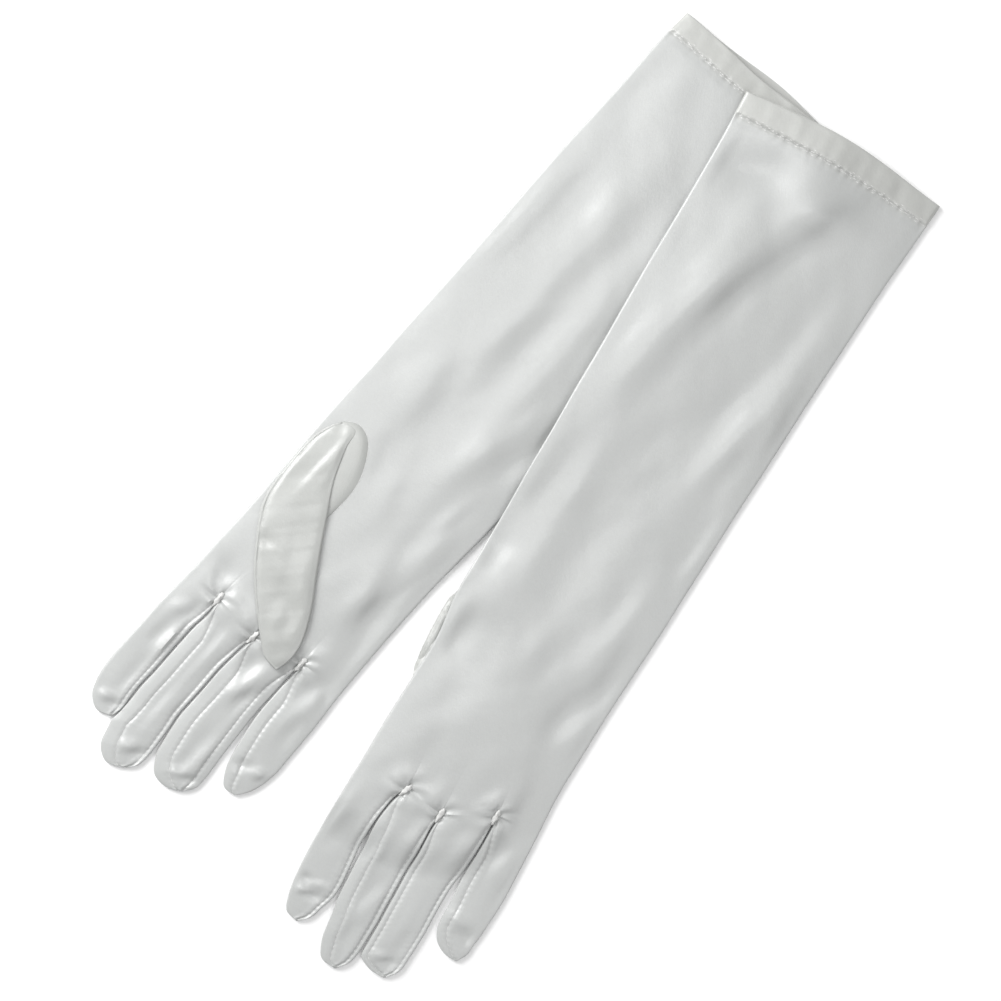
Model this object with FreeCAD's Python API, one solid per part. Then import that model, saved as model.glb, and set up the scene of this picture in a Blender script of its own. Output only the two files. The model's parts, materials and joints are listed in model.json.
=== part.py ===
import FreeCAD, Part
import math, os

os.makedirs("parts", exist_ok=True)
V = FreeCAD.Vector

# A pair of elbow-length stretch satin gloves laid flat, one over the other.
# The right glove lies palm up on the table.  The left glove lies back up with
# its sleeve across the right sleeve.  Units are millimetres, +Z up, the table
# is Z = 0, and +Y runs from the finger ends to the cuffs.

# ---- driving dimensions ----
CLOTH = 0.6          # thickness of one ply
HEM_PLY = 1.2        # two plies where the cuff is turned in
HEM_DEPTH = 12.0     # depth of the turned-in hem
SLEEVE_T = 7.0       # height of the flattened sleeve and palm
FINGER_T = 5.0       # height of a flattened finger
THUMB_T = 4.6        # height of the flattened right thumb
TUCKED_T = 3.6       # height of the left thumb, pressed flat under its palm
EDGE_T = 1.7         # height of the rolled edge at the fold and at the seam
EDGE_MID = 0.8       # height of the line where palm and back meet
EDGE_ROLL = 20.0     # distance over which the sleeve swells from its edge
FINGER_ROLL = 8.0    # the same on a finger
STUB = 2.5           # the hand runs this far past the crotches
RING_STUB = 7.5      # and this far at the right ring finger, clear of the thumb tip
GAP = 0.35           # clearance between pieces that hinge
LIE = 0.35           # clearance between a glove and what lies on it
TUCK_RISE = 4.3      # the left palm rises this much over its tucked thumb
SWING = 60.0         # how far the tucked thumb swings out, degrees
SHIFT = (-0.12, -0.77)   # puts the origin at the middle of the outline

# ---- outlines, from the cuff to the finger ends ----
OUTLINE = {
    "R_in": [(-63.2, 242.4), (-67.1, 219.9), (-69.4, 197.2), (-72.4, 174.5), (-75.4, 151.8), (-77.9, 129.1), (-80.2, 106.3), (-82.6, 83.6), (-85.2, 60.9), (-88, 38.2), (-90.4, 15.4), (-93.4, -7.2), (-96, -30), (-98, -52.7), (-100, -75.5), (-103, -98.2), (-105.8, -120.9)],
    "R_out": [(46.4, 231.6), (42.5, 209.1), (38.7, 186.7), (34.8, 164.3), (31, 141.9), (27.1, 119.5), (23.3, 97.1), (19.4, 74.7), (15.6, 52.3), (11.7, 29.9), (8, 7.4), (4.4, -15), (0.7, -37.4), (-3.1, -59.9), (-6, -82.4), (-8.4, -105), (-10.5, -127.7)],
    "L_in": [(-17.2, 226.4), (-14.3, 202.9), (-12.2, 179.4), (-10.3, 155.8), (-8.7, 132.2), (-6.6, 108.7), (-4.4, 85.1), (-2.6, 61.6), (-0.4, 38), (1.4, 14.5), (3.7, -9.1), (5.5, -32.7), (7.4, -56.2), (12, -79.4), (13.4, -103), (14.5, -126.6), (16.4, -150.2)],
    "L_out": [(93.2, 235.6), (93.5, 212.7), (93.5, 189.7), (94.1, 166.8), (94.8, 143.9), (95.5, 120.9), (96.5, 98), (97.4, 75.1), (98.1, 52.1), (99.3, 29.2), (100.3, 6.3), (101.5, -16.6), (102.1, -39.6), (102.8, -62.5), (104.1, -85.4), (105.5, -108.3), (108.6, -131.1)],
    "R_index_a": [(-105.8, -120.9), (-107.1, -128.8), (-108.4, -136.7), (-109.5, -144.6), (-110.4, -152.5), (-111.3, -160.5), (-112.4, -168.4), (-113.3, -176.3), (-113.7, -184.3), (-113, -192.3), (-110.4, -199.7), (-104.2, -204.3), (-96.5, -202.6)],
    "R_index_b": [(-86.5, -124.8), (-86.8, -131.4), (-87.9, -137.9), (-89.3, -144.3), (-90.1, -150.8), (-90.9, -157.3), (-91.6, -163.8), (-92.3, -170.4), (-93.2, -176.9), (-94.1, -183.4), (-94.4, -189.9), (-94.5, -196.5), (-96.5, -202.6)],
    "R_middle_a": [(-86.5, -124.8), (-86.3, -134.1), (-87.9, -143.3), (-89.1, -152.5), (-90.1, -161.7), (-90.9, -171), (-92.2, -180.2), (-93.5, -189.4), (-94.6, -198.6), (-94.9, -207.9), (-93.1, -217), (-86.4, -222.5), (-77.5, -220.3)],
    "R_middle_b": [(-61.7, -130.3), (-63.9, -137.8), (-65.4, -145.4), (-66.8, -153), (-67.6, -160.8), (-68.4, -168.5), (-69.4, -176.2), (-70.2, -184), (-70, -191.7), (-70.1, -199.5), (-70.5, -207.3), (-72.1, -214.8), (-77.5, -220.3)],
    "R_ring_a": [(-61.7, -130.3), (-61.2, -138.7), (-62.5, -147.1), (-64, -155.4), (-65.4, -163.7), (-66.4, -172.1), (-67, -180.5), (-67, -189), (-66.8, -197.4), (-66.6, -205.9), (-63.5, -213.6), (-55.6, -215.9), (-47.6, -213.5)],
    "R_ring_b": [(-34.9, -127.8), (-36.1, -135), (-37.2, -142.3), (-38.1, -149.6), (-39, -156.9), (-39.7, -164.2), (-40.1, -171.6), (-40.5, -178.9), (-40.9, -186.3), (-41.1, -193.6), (-41.3, -201), (-42.6, -208.2), (-47.6, -213.5)],
    "R_little_a": [(-34.9, -127.8), (-34.6, -134.4), (-35.4, -141.1), (-36.2, -147.7), (-37, -154.4), (-37.8, -161), (-38.2, -167.7), (-38.1, -174.4), (-37.7, -181), (-36.8, -187.7), (-34.9, -194.1), (-31.2, -199.6), (-24.8, -199.9)],
    "R_little_b": [(-10.5, -127.7), (-10.9, -133.9), (-11.1, -140.2), (-11.4, -146.5), (-11.8, -152.8), (-12.4, -159.1), (-12.9, -165.3), (-13.5, -171.6), (-14, -177.9), (-15.3, -184), (-17.3, -190), (-20.4, -195.4), (-24.8, -199.9)],
    "L_index_a": [(16.4, -150.2), (16.7, -157.7), (17.2, -165.2), (17.7, -172.8), (18.2, -180.3), (18.8, -187.9), (19.5, -195.4), (20.4, -202.9), (21.5, -210.4), (22.9, -217.8), (25, -225), (28.6, -231.6), (35.5, -233.1)],
    "L_index_b": [(42.7, -148.3), (39.8, -155), (39, -162.2), (38.8, -169.6), (39.1, -176.9), (39.6, -184.2), (41, -191.4), (42.3, -198.6), (43.5, -205.9), (43.7, -213.2), (42.1, -220.4), (40.3, -227.5), (35.5, -233.1)],
    "L_middle_a": [(42.7, -148.3), (42.2, -156.8), (41.6, -165.4), (42.5, -174), (43.8, -182.6), (45, -191.2), (46.3, -199.8), (46.9, -208.4), (47.6, -217.1), (48.8, -225.6), (51.2, -234), (56.1, -240.9), (64.4, -241.4)],
    "L_middle_b": [(63.2, -148.8), (63, -156.6), (63.9, -164.4), (64.8, -172.3), (65.2, -180.1), (66, -188), (66.9, -195.8), (67.7, -203.6), (68.6, -211.4), (69.1, -219.3), (69.5, -227.1), (68.6, -234.9), (64.4, -241.4)],
    "L_ring_a": [(63.2, -148.8), (64.7, -156.7), (65.4, -164.7), (66.1, -172.8), (66.5, -180.8), (67.3, -188.8), (68.2, -196.8), (69.1, -204.8), (70, -212.9), (70.5, -220.9), (71.7, -228.7), (78.8, -231.8), (86.9, -231.2)],
    "L_ring_b": [(86, -134), (87.1, -142.2), (88, -150.3), (88.5, -158.6), (88.7, -166.8), (88.3, -175), (88.7, -183.2), (89.5, -191.4), (90.5, -199.6), (91.1, -207.8), (91.4, -216.1), (91.2, -224.3), (86.9, -231.2)],
    "L_little_a": [(86, -134), (88.7, -140.4), (89.6, -147.3), (90.2, -154.3), (90.8, -161.2), (91.3, -168.2), (91.8, -175.1), (92.2, -182.1), (92.7, -189), (94, -195.8), (97.8, -201.5), (104, -204.5), (110.9, -204.5)],
    "L_little_b": [(108.6, -131.1), (109.5, -137.2), (110.3, -143.4), (111.1, -149.5), (111.9, -155.7), (112.7, -161.8), (113.3, -168), (113.6, -174.2), (113.8, -180.4), (113.9, -186.7), (113.7, -192.9), (113.6, -199.1), (110.9, -204.5)],
    "R_thumb_a": [(-86, -18.5), (-91.2, -25.8), (-94.5, -34.1), (-96, -42.9), (-96.7, -51.9), (-97.1, -60.8), (-96.7, -69.8), (-94.5, -78.4), (-90.4, -86.4), (-86.1, -94.2), (-81.5, -101.9), (-76.2, -109.1), (-70.5, -116.1), (-64.4, -122.7), (-58.3, -129.3), (-51.7, -135.3), (-43.3, -137.5)],
    "R_thumb_b": [(-86, -18.5), (-78.2, -19.1), (-77.3, -27.5), (-75.5, -35.7), (-73.3, -43.8), (-70.2, -51.7), (-66.6, -59.3), (-63.2, -67.1), (-59.7, -74.8), (-56.1, -82.4), (-52.4, -90), (-48.5, -97.5), (-45, -105.2), (-42.1, -113.1), (-40.2, -121.3), (-40.5, -129.8), (-43.3, -137.5)],
    "R_oval": [(-86, -18.5), (-79.1, -15.6), (-72.1, -18.2), (-67.6, -24.3), (-64.7, -31.4), (-62.9, -38.9), (-62.7, -46.6), (-63.7, -54.1), (-65.2, -61.7)],
    "L_thumb_a": [(11.5, -44.3), (7.9, -52.4), (6.2, -61.2), (6.6, -70.2), (7.7, -79.1), (9.1, -87.9), (11.3, -96.6), (15.3, -104.6), (20.8, -111.6), (26.6, -118.4), (32.8, -125), (39.4, -131), (46.4, -136.7), (53.7, -141.9), (61, -147.1), (68.7, -151.6), (77.3, -152.2)],
    "L_thumb_b": [(11.5, -44.3), (19.2, -43.2), (21.8, -51.2), (25.2, -59), (29.1, -66.5), (33.6, -73.6), (38.7, -80.3), (43.6, -87.2), (48.6, -94.1), (53.7, -100.8), (58.8, -107.5), (64.2, -114), (69.1, -120.8), (73.6, -128), (77.1, -135.7), (78.6, -144), (77.3, -152.2)],
    "L_oval": [(11.5, -44.3), (17.6, -40), (25, -41.1), (30.7, -46.2), (34.9, -52.5), (38.2, -59.5), (39.9, -67), (40.5, -74.6), (40.5, -82.3)],
}
for _k in OUTLINE:
    OUTLINE[_k] = [(a + SHIFT[0], b + SHIFT[1]) for a, b in OUTLINE[_k]]
CROTCH = {"R": [(-86.5, -124.8), (-61.7, -130.3), (-34.9, -127.8)],
          "L": [(42.7, -148.3), (63.2, -148.8), (86.0, -134.0)]}
for _k in CROTCH:
    CROTCH[_k] = [(a + SHIFT[0], b + SHIFT[1]) for a, b in CROTCH[_k]]
FINGERS = ["index", "middle", "ring", "little"]
# distance of each fork seam from the finger's edge, (index side, little side)
FORK = {"R": {"index": (0, 2.6), "middle": (8.0, 2.4), "ring": (8.0, 5.0), "little": (6.5, 0)},
        "L": {"index": (0, 2.2), "middle": (6.5, 2.4), "ring": (3.6, 2.6), "little": (5.0, 0)}}


# ---- small plane geometry ----
def sub(a, b): return (a[0] - b[0], a[1] - b[1])
def add(a, b, k=1.0): return (a[0] + k * b[0], a[1] + k * b[1])
def dot(a, b): return a[0] * b[0] + a[1] * b[1]
def norm(a):
    n = math.hypot(a[0], a[1])
    return (a[0] / n, a[1] / n)
def mix(a, b, t): return (a[0] + (b[0] - a[0]) * t, a[1] + (b[1] - a[1]) * t)
def smooth(t):
    t = min(max(t, 0.0), 1.0)
    return t * t * (3 - 2 * t)
def seg_dist(p, a, b):
    d = sub(b, a)
    t = min(max(dot(sub(p, a), d) / max(dot(d, d), 1e-9), 0.0), 1.0)
    q = add(a, d, t)
    s = d[0] * (p[1] - a[1]) - d[1] * (p[0] - a[0])
    return math.hypot(p[0] - q[0], p[1] - q[1]), s
def line_dist(p, poly):
    best = min((seg_dist(p, poly[i], poly[i + 1]) for i in range(len(poly) - 1)), key=lambda v: v[0])
    return best
def inside(p, poly):
    r = False
    for i in range(len(poly)):
        a, b = poly[i], poly[i - 1]
        if (a[1] > p[1]) != (b[1] > p[1]) and p[0] < (b[0] - a[0]) * (p[1] - a[1]) / (b[1] - a[1]) + a[0]:
            r = not r
    return r


# ---- section profile of a flattened tube ----
def top_of(e, T, roll=EDGE_ROLL):
    if e <= 0.6:
        return EDGE_MID + (EDGE_T - EDGE_MID) * e / 0.6
    q = min((e - 0.6) / (roll - 0.6), 1.0)
    return EDGE_T + (T - EDGE_T) * (1 - (1 - q) ** 2)
def bot_of(e):
    if e <= 0.6:
        return EDGE_MID + (0.12 - EDGE_MID) * e / 0.6
    return max(0.12 - 0.12 * (e - 0.6) / 1.9, 0.0)


def loft(sections):
    wires = [Part.makePolygon([V(*p) for p in s] + [V(*s[0])]) for s in sections]
    sh = Part.makeLoft(wires, True, True)
    if sh.Volume < 0:
        sh.reverse()
    return sh
def prism(poly, z0, z1):
    f = Part.Face(Part.makePolygon([V(x, y, z0) for x, y in poly] + [V(poly[0][0], poly[0][1], z0)]))
    return f.extrude(V(0, 0, z1 - z0))
def save(name, shape):
    sols = [s for s in shape.Solids if s.Volume > 0.02]
    bad = [s for s in sols if not s.isValid()]
    out = sols[0] if len(sols) == 1 else Part.makeCompound(sols)
    out.exportStep("parts/%s.step" % name)
    b = out.BoundBox
    print("%-34s solids %d vol %8.1f valid %s  x %.1f..%.1f y %.1f..%.1f z %.2f..%.2f" % (
        name, len(sols), sum(s.Volume for s in sols), not bad, b.XMin, b.XMax, b.YMin, b.YMax, b.ZMin, b.ZMax))


def flat_underside(solid):
    """make the underside that lies on the table, wide of the edges, true plane faces and join them"""
    faces = []
    for f in solid.Faces:
        b = f.BoundBox
        if b.ZMax < 0.01 and f.Area > 60:
            g = Part.Face(Part.Plane(V(0, 0, 0), V(0, 0, -1)), [f.OuterWire])
            faces.append(g)
        else:
            faces.append(f)
    out = Part.Solid(Part.Shell(faces))
    if out.Volume < 0:
        out.reverse()
    joined = out.removeSplitter()
    return joined if joined.isValid() and len(joined.Solids) == 1 else out


# ---- what the left glove rests on ----
EDGE_A = OUTLINE["R_out"]
def inside_right(p):
    d, s = line_dist(p, EDGE_A)
    return d if s < 0 else -d
def drape(p):
    return (SLEEVE_T + LIE) * smooth((inside_right(p) + 25) / 45.0)
def drape_top(p):
    return (SLEEVE_T + LIE) * smooth((inside_right(p) + 45) / 65.0)


# ---- the left thumb and the room it swings in ----
def axis_of(side):
    a, b = OUTLINE[side + "_thumb_a"], OUTLINE[side + "_thumb_b"]
    root = mix(a[9], b[6], 0.5)
    tip = a[-1]
    return root, norm(sub(tip, root))
PIVOT, PDIR = axis_of("L")
def swing(p, deg):
    c, s = math.cos(math.radians(deg)), math.sin(math.radians(deg))
    d = sub(p, PIVOT)
    return (PIVOT[0] + c * d[0] - s * d[1], PIVOT[1] + s * d[0] + c * d[1])
ZONES = [OUTLINE["L_thumb_a"] + OUTLINE["L_thumb_b"][::-1][1:-1]]
for _d in (7.5, 15, 22.5, 30, 37.5, 45, 52.5, 60, 63):
    ZONES.append([swing(q, -_d) for q in OUTLINE["L_thumb_a"][9:] + OUTLINE["L_thumb_b"][::-1][1:-7]])
def tuck(p):
    best = 99.0
    for z in ZONES:
        if inside(p, z):
            return TUCK_RISE
        best = min(best, line_dist(p, z + [z[0]])[0])
    return TUCK_RISE * smooth((22.0 - best) / 20.0)


# ---- sleeve and hand ----
def thick(side, k, n):
    # full height down the sleeve, falling to the finger height at the crotches
    t = (k - (n - 5)) / 4.0
    return SLEEVE_T + (FINGER_T - SLEEVE_T) * smooth(t)
def stations(side):
    a, b = OUTLINE[side + "_in"], OUTLINE[side + "_out"]
    n = len(a)
    st = [(a[0], b[0], SLEEVE_T, HEM_PLY)]
    L = math.hypot(*sub(a[1], a[0]))
    for off, ply in ((HEM_DEPTH, HEM_PLY), (HEM_DEPTH + 0.4, CLOTH)):
        st.append((mix(a[0], a[1], off / L), mix(b[0], b[1], off / L), SLEEVE_T, ply))
    for k in range(1, n):
        st.append((a[k], b[k], thick(side, k, n), CLOTH))
    # run on past the crotches, between the outer sides of index and little
    ia, lb = OUTLINE[side + "_index_a"], OUTLINE[side + "_little_b"]
    st.append((ia[3], lb[3], FINGER_T, CLOTH))
    return st
def levels(side, p, e, T):
    """outer bottom and top of the flattened tube at a point of its plan"""
    if side == "R":
        return bot_of(e), top_of(e, T)
    low = drape(p) + tuck(p)
    high = low + (drape_top(p) - drape(p)) * smooth(e / 28.0)
    return low + bot_of(e), high + top_of(e, T)
E_OUT = [0.0, 0.6, 2.5, 6.0, 11.0, 20.0]
E_IN = {CLOTH: [0.6, 1.2, 2.9, 6.0, 11.0, 20.0], HEM_PLY: [1.2, 2.2, 4.0, 6.5, 11.0, 20.0]}
def across(W, es, side):
    mids = [0.5] if side == "R" else [0.28, 0.36, 0.44, 0.52, 0.6, 0.68, 0.76]
    lo, hi = es[-1] / W, 1 - es[-1] / W
    mids = [m for m in mids if lo + 0.02 < m < hi - 0.02] if side == "R" else [lo + (hi - lo) * (i + 1) / 6.0 for i in range(5)]
    return [e / W for e in es] + mids + [1 - e / W for e in es[::-1]]
def half_sheet(side, upper):
    secs = []
    for a, b, T, ply in stations(side):
        W = math.hypot(*sub(b, a))
        outer, inner = [], []
        for u in across(W, E_OUT, side):
            p = mix(a, b, u)
            e = min(u, 1 - u) * W
            lo, hi = levels(side, p, e, T)
            outer.append((p[0], p[1], hi if upper else lo))
        for u in across(W, E_IN[ply], side):
            p = mix(a, b, u)
            e = min(u, 1 - u) * W
            lo, hi = levels(side, p, e, T)
            base = lo - bot_of(e)
            if e < E_IN[ply][0] + 1e-6:
                z = base + EDGE_MID
            elif upper:
                z = max(hi - ply, base + EDGE_MID + 0.12)
            else:
                z = min(lo + ply, base + EDGE_MID - 0.1) if e < 3.0 else lo + ply
            inner.append((p[0], p[1], z))
        secs.append(outer + inner[::-1])
    return loft(secs)
def top_at(side, p):
    """height of the upper surface of the right glove at a point of its plan"""
    e = min(line_dist(p, OUTLINE["R_in"])[0], line_dist(p, OUTLINE["R_out"])[0])
    return top_of(e, SLEEVE_T)


# ---- fingers ----
def finger_axis(side, f):
    a, b = OUTLINE["%s_%s_a" % (side, f)], OUTLINE["%s_%s_b" % (side, f)]
    base = mix(a[0], b[0], 0.5)
    far = mix(a[9], b[9], 0.5)
    d = norm(sub(far, base))
    s0 = max(dot(sub(a[0], base), d), dot(sub(b[0], base), d)) + (RING_STUB if (side, f) == ("R", "ring") else STUB)
    return base, d, s0
def edge_at(poly, base, d, s):
    n = (-d[1], d[0])
    pts = [(dot(sub(p, base), d), dot(sub(p, base), n)) for p in poly]
    run = [pts[0]]
    for q in pts[1:]:
        if q[0] > run[-1][0] + 1e-3:
            run.append(q)
    for i in range(len(run) - 1):
        if run[i][0] <= s <= run[i + 1][0]:
            t = (s - run[i][0]) / (run[i + 1][0] - run[i][0])
            return run[i][1] + t * (run[i + 1][1] - run[i][1])
    return run[0][1] if s < run[0][0] else run[-1][1]
def finger_stations(side, f):
    a, b = OUTLINE["%s_%s_a" % (side, f)], OUTLINE["%s_%s_b" % (side, f)]
    base, d, s0 = finger_axis(side, f)
    n = (-d[1], d[0])
    s1 = max(dot(sub(p, base), d) for p in a)
    ss = [s0 + GAP] + [s0 + (s1 - s0) * t for t in (0.2, 0.4, 0.6, 0.75)] + [s1 - 9, s1 - 5.5, s1 - 3, s1 - 1.2]
    out = []
    for i, s in enumerate(ss):
        na, nb = edge_at(a, base, d, s), edge_at(b, base, d, s)
        c = 1 if nb > na else -1
        na, nb = na + 0.2 * c, nb - 0.2 * c
        pa, pb = add(add(base, d, s), n, na), add(add(base, d, s), n, nb)
        out.append((pa, pb, s, i))
    return out, d
def fork_width(S, W):
    return max(min(S, 0.3 * W), min(1.9, S)) if S > 0 else 0
def strip(side, f, kind):
    """kind: upper or lower strip, or fork_a / fork_b on the index or little side"""
    st, d = finger_stations(side, f)
    fa, fb = FORK[side][f]
    secs = []
    last = len(st) - 1
    for pa, pb, s, i in st:
        W = math.hypot(*sub(pb, pa))
        roll = min(FINGER_ROLL, 0.48 * W)
        T = FINGER_T * (1.0, 1.0, 1.0, 1.0, 1.0, 1.0, 0.97, 0.9, 0.72)[i]
        sa, sb = fork_width(fa, W), fork_width(fb, W)
        def lv(u):
            e = min(u, 1 - u) * W
            return bot_of(e), top_of(e, T, roll)
        closed = i >= last - 1
        mid = 0.5 * T
        def inn(u, upper):
            e = min(u, 1 - u) * W
            lo, hi = lv(u)
            if closed:
                m = min(mid, 0.5 * (lo + hi))
                return max(m, lo + 0.1) + (0.04 if upper else -0.04)
            if e < 0.75:
                return EDGE_MID + (0.03 if upper else -0.03)
            return max(hi - CLOTH, EDGE_MID + 0.12) if upper else min(lo + CLOTH, EDGE_MID - 0.08 if e < 2 else 9)
        def P3(u, z):
            p = mix(pa, pb, u)
            return (p[0], p[1], z + (tuck(p) if side == "L" else 0.0))
        if kind in ("upper", "lower"):
            up = kind == "upper"
            kw = min(1.0, W / 18.0)
            side_e = [0.0, 0.6, 0.6 + 1.6 * kw, 0.6 + 3.9 * kw]
            ea = [sa] if sa > 0 else side_e
            eb = [sb] if sb > 0 else side_e
            uo = [e / W for e in ea] + [max(ea[-1] / W + 0.02, 0.30), 0.5, min(1 - eb[-1] / W - 0.02, 0.70)] + [1 - e / W for e in eb[::-1]]
            side_i = [0.7, 0.7 + 0.5 * kw, 0.7 + 1.7 * kw, 0.7 + 3.8 * kw]
            ei = [sa] if sa > 0 else side_i
            fi = [sb] if sb > 0 else side_i
            ui = [e / W for e in ei] + [max(ei[-1] / W + 0.02, 0.30), 0.5, min(1 - fi[-1] / W - 0.02, 0.70)] + [1 - e / W for e in fi[::-1]]
            outer = [P3(u, lv(u)[1 if up else 0]) for u in uo]
            inner = [P3(u, inn(u, up)) for u in ui]
            secs.append(outer + inner[::-1])
        else:
            S = sa if kind == "fork_a" else sb
            if S <= 0:
                return None
            g = 0.02
            es = [S - g, 0.5 + (S - 0.5) * 0.6, 0.5 + (S - 0.5) * 0.28, 0.5]
            eis = [S - g, 0.8 + (S - 0.8) * 0.6, 0.8 + (S - 0.8) * 0.28, 0.8]
            tr = (lambda e: e / W) if kind == "fork_a" else (lambda e: 1 - e / W)
            outer = [P3(tr(e), lv(tr(e))[1]) for e in es] + [P3(tr(0.0), EDGE_MID)] + [P3(tr(e), lv(tr(e))[0]) for e in es[::-1]]
            inner = [P3(tr(e), inn(tr(e), True)) for e in eis] + [P3(tr(0.72), EDGE_MID)] + [P3(tr(e), inn(tr(e), False)) for e in eis[::-1]]
            secs.append(outer + inner[::-1])
    return loft(secs)
def seam_bar(side, f, where, upper):
    st, d = finger_stations(side, f)
    fa, fb = FORK[side][f]
    secs = []
    for pa, pb, s, i in st[:-2]:
        W = math.hypot(*sub(pb, pa))
        roll = min(FINGER_ROLL, 0.48 * W)
        S = fork_width(fa if where == "a" else fb, W)
        u = S / W if where == "a" else 1 - S / W
        e = S
        z = top_of(e, FINGER_T * (1.0, 1.0, 1.0, 1.0, 1.0, 1.0, 0.97, 0.9, 0.72)[i], roll) if upper else bot_of(e)
        h = 0.35
        p, q = mix(pa, pb, u - h / W), mix(pa, pb, u + h / W)
        if side == "L":
            z += tuck(mix(pa, pb, u))
        z0, z1 = (z - 0.25, z + 0.3) if upper else (z + 0.02, z + 0.45)
        secs.append([(p[0], p[1], z0), (q[0], q[1], z0), (q[0], q[1], z1), (p[0], p[1], z1)])
    return loft(secs)


# ---- the hand end is stepped, one step for each finger ----
def hand_end(side):
    """polygon past the hand end, to cut away"""
    pts = []
    cr = [OUTLINE[side + "_in"][-1]] + CROTCH[side] + [OUTLINE[side + "_out"][-1]]
    for k, f in enumerate(FINGERS):
        base, d, s0 = finger_axis(side, f)
        n = (-d[1], d[0])
        a, b = OUTLINE["%s_%s_a" % (side, f)], OUTLINE["%s_%s_b" % (side, f)]
        na, nb = edge_at(a, base, d, s0), edge_at(b, base, d, s0)
        c = 1 if nb > na else -1
        ga = 8.0 if k == 0 else -0.2
        gb = 8.0 if k == 3 else -0.2
        if k > 0:
            pts.append(cr[k])
        pts.append(add(add(base, d, s0), n, na - ga * c))
        pts.append(add(add(base, d, s0), n, nb + gb * c))
    base, d, s0 = finger_axis(side, "ring")
    pts.append(add(pts[-1], d, 60.0))
    pts.append(add(pts[0], d, 60.0))
    return pts


# ---- build one glove ----
def build(side, name):
    up_palm = side == "R"
    top = half_sheet(side, True)
    bottom = half_sheet(side, False)
    cut = prism(hand_end(side), -5, 30)
    top, bottom = top.cut(cut), bottom.cut(cut)
    oval = OUTLINE[side + "_thumb_a"][:9] + OUTLINE[side + "_oval"][::-1][:-1]
    palm, back = (top, bottom) if up_palm else (bottom, top)
    hole = prism(oval, -5, 30)
    whole = palm
    palm = palm.cut(hole)
    save(name + "_palm", palm)
    save(name + "_back", flat_underside(back) if side == "R" else back)

    # thumb: gusset sewn into the oval, and the stall beyond it
    T0 = THUMB_T if side == "R" else TUCKED_T
    ta, tb = OUTLINE[side + "_thumb_a"], OUTLINE[side + "_thumb_b"]
    root, td = axis_of(side)
    tn = (-td[1], td[0])
    def level(p, T, e, W, lower, grow=0.0):
        q = min(e / (0.42 * W), 1.0)
        h = T * (0.36 + 0.64 * (1 - (1 - q) ** 2))
        if side == "R":
            b = top_at("R", p) + LIE
            return b if lower else b + h
        return 0.0 if lower else h
    def thumb_section(pa, pb, T, shrink, lo_extra=0.0, hi_extra=0.0):
        W = math.hypot(*sub(pb, pa))
        us = [0.0, 0.1, 0.25, 0.42, 0.58, 0.75, 0.9, 1.0]
        us = [shrink / W + u * (1 - 2 * shrink / W) for u in us]
        lo = []; hi = []
        for u in us:
            p = mix(pa, pb, u); e = min(u, 1 - u) * W
            lo.append((p[0], p[1], level(p, T, e, W, True) + lo_extra))
            hi.append((p[0], p[1], level(p, T, e, W, False) + hi_extra))
        return lo + hi[::-1]
    pairs = [(0.10, 0.075), (0.2, 0.15), (0.3, 0.23), (0.4, 0.31), (0.47, 0.37)]
    def on(poly, t):
        x = t * (len(poly) - 1); i = min(int(x), len(poly) - 2)
        return mix(poly[i], poly[i + 1], x - i)
    s_h = 0.0
    hinge_a = add(root, tn, edge_at(ta[6:], root, td, s_h)); hinge_b = add(root, tn, edge_at(tb[4:], root, td, s_h))
    rs = [(on(ta, p), on(tb, q)) for p, q in pairs] + [(hinge_a, hinge_b)]
    heights = [0.35, 0.6, 0.8, 0.94, 1.0, 1.0]
    if side == "R":
        o = [thumb_section(a, b, T0 * h, 0.25, -LIE - 0.35) for (a, b), h in zip(rs, heights)]
        i = [thumb_section(a, b, T0 * h, 0.25 + CLOTH, -LIE - 2.5, -CLOTH) for (a, b), h in zip(rs, heights)]
        outer = loft(o)
        patch = whole.common(hole)
        end = add(rs[-1][0], td, 0.2), add(rs[-1][1], td, 0.2)
        i.append(thumb_section(end[0], end[1], T0, 0.25 + CLOTH, -LIE - 2.5, -CLOTH))
        void = loft(i[1:])
        gusset = patch.fuse(outer).cut(void)
        save(name + "_thumb_gusset", gusset)
        ribbon = whole.copy(); ribbon.translate(V(0, 0, 0.28))
    else:
        z_palm = TUCK_RISE
        o = [thumb_section(a, b, T0 * h, 0.25) for (a, b), h in zip(rs, heights)]
        # the gusset climbs from the table into the oval
        o2 = []
        for k, sct in enumerate(o):
            m = len(sct) // 2
            o2.append(sct[:m] + [(x, y, z_palm + 0.3) for x, y, z in sct[m:]])
        # only the first part reaches up into the palm; the last stays under it
        first = loft(o2[:4])
        rest = loft(o[3:])
        inner = [thumb_section(a, b, T0 * h, 0.25 + CLOTH, CLOTH, -CLOTH) for (a, b), h in zip(rs, heights)]
        i2 = []
        for k, sct in enumerate(inner[:4]):
            m = len(sct) // 2
            i2.append(sct[:m] + [(x, y, z_palm + 3.0) for x, y, z in sct[m:]])
        disc = Part.makeCylinder(13.5, T0 + 0.0, V(PIVOT[0], PIVOT[1], 0.0))
        patch = whole.common(hole)
        gusset = patch.fuse(first.fuse(rest))
        gusset = gusset.cut(loft(i2))
        cap = disc.cut(Part.makeCylinder(13.5 - CLOTH, T0 - 2 * CLOTH, V(PIVOT[0], PIVOT[1], CLOTH)))
        inner_rest = loft(inner[3:])
        half = prism([add(PIVOT, tn, 60), add(PIVOT, tn, -60), add(add(PIVOT, tn, -60), td, 60), add(add(PIVOT, tn, 60), td, 60)], -1, 20)
        gusset = gusset.cut(inner_rest).cut(half)
        gusset = gusset.fuse(cap.common(half))
        save(name + "_thumb_gusset", gusset)
        ribbon = whole.copy(); ribbon.translate(V(0, 0, -0.28))
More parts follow.
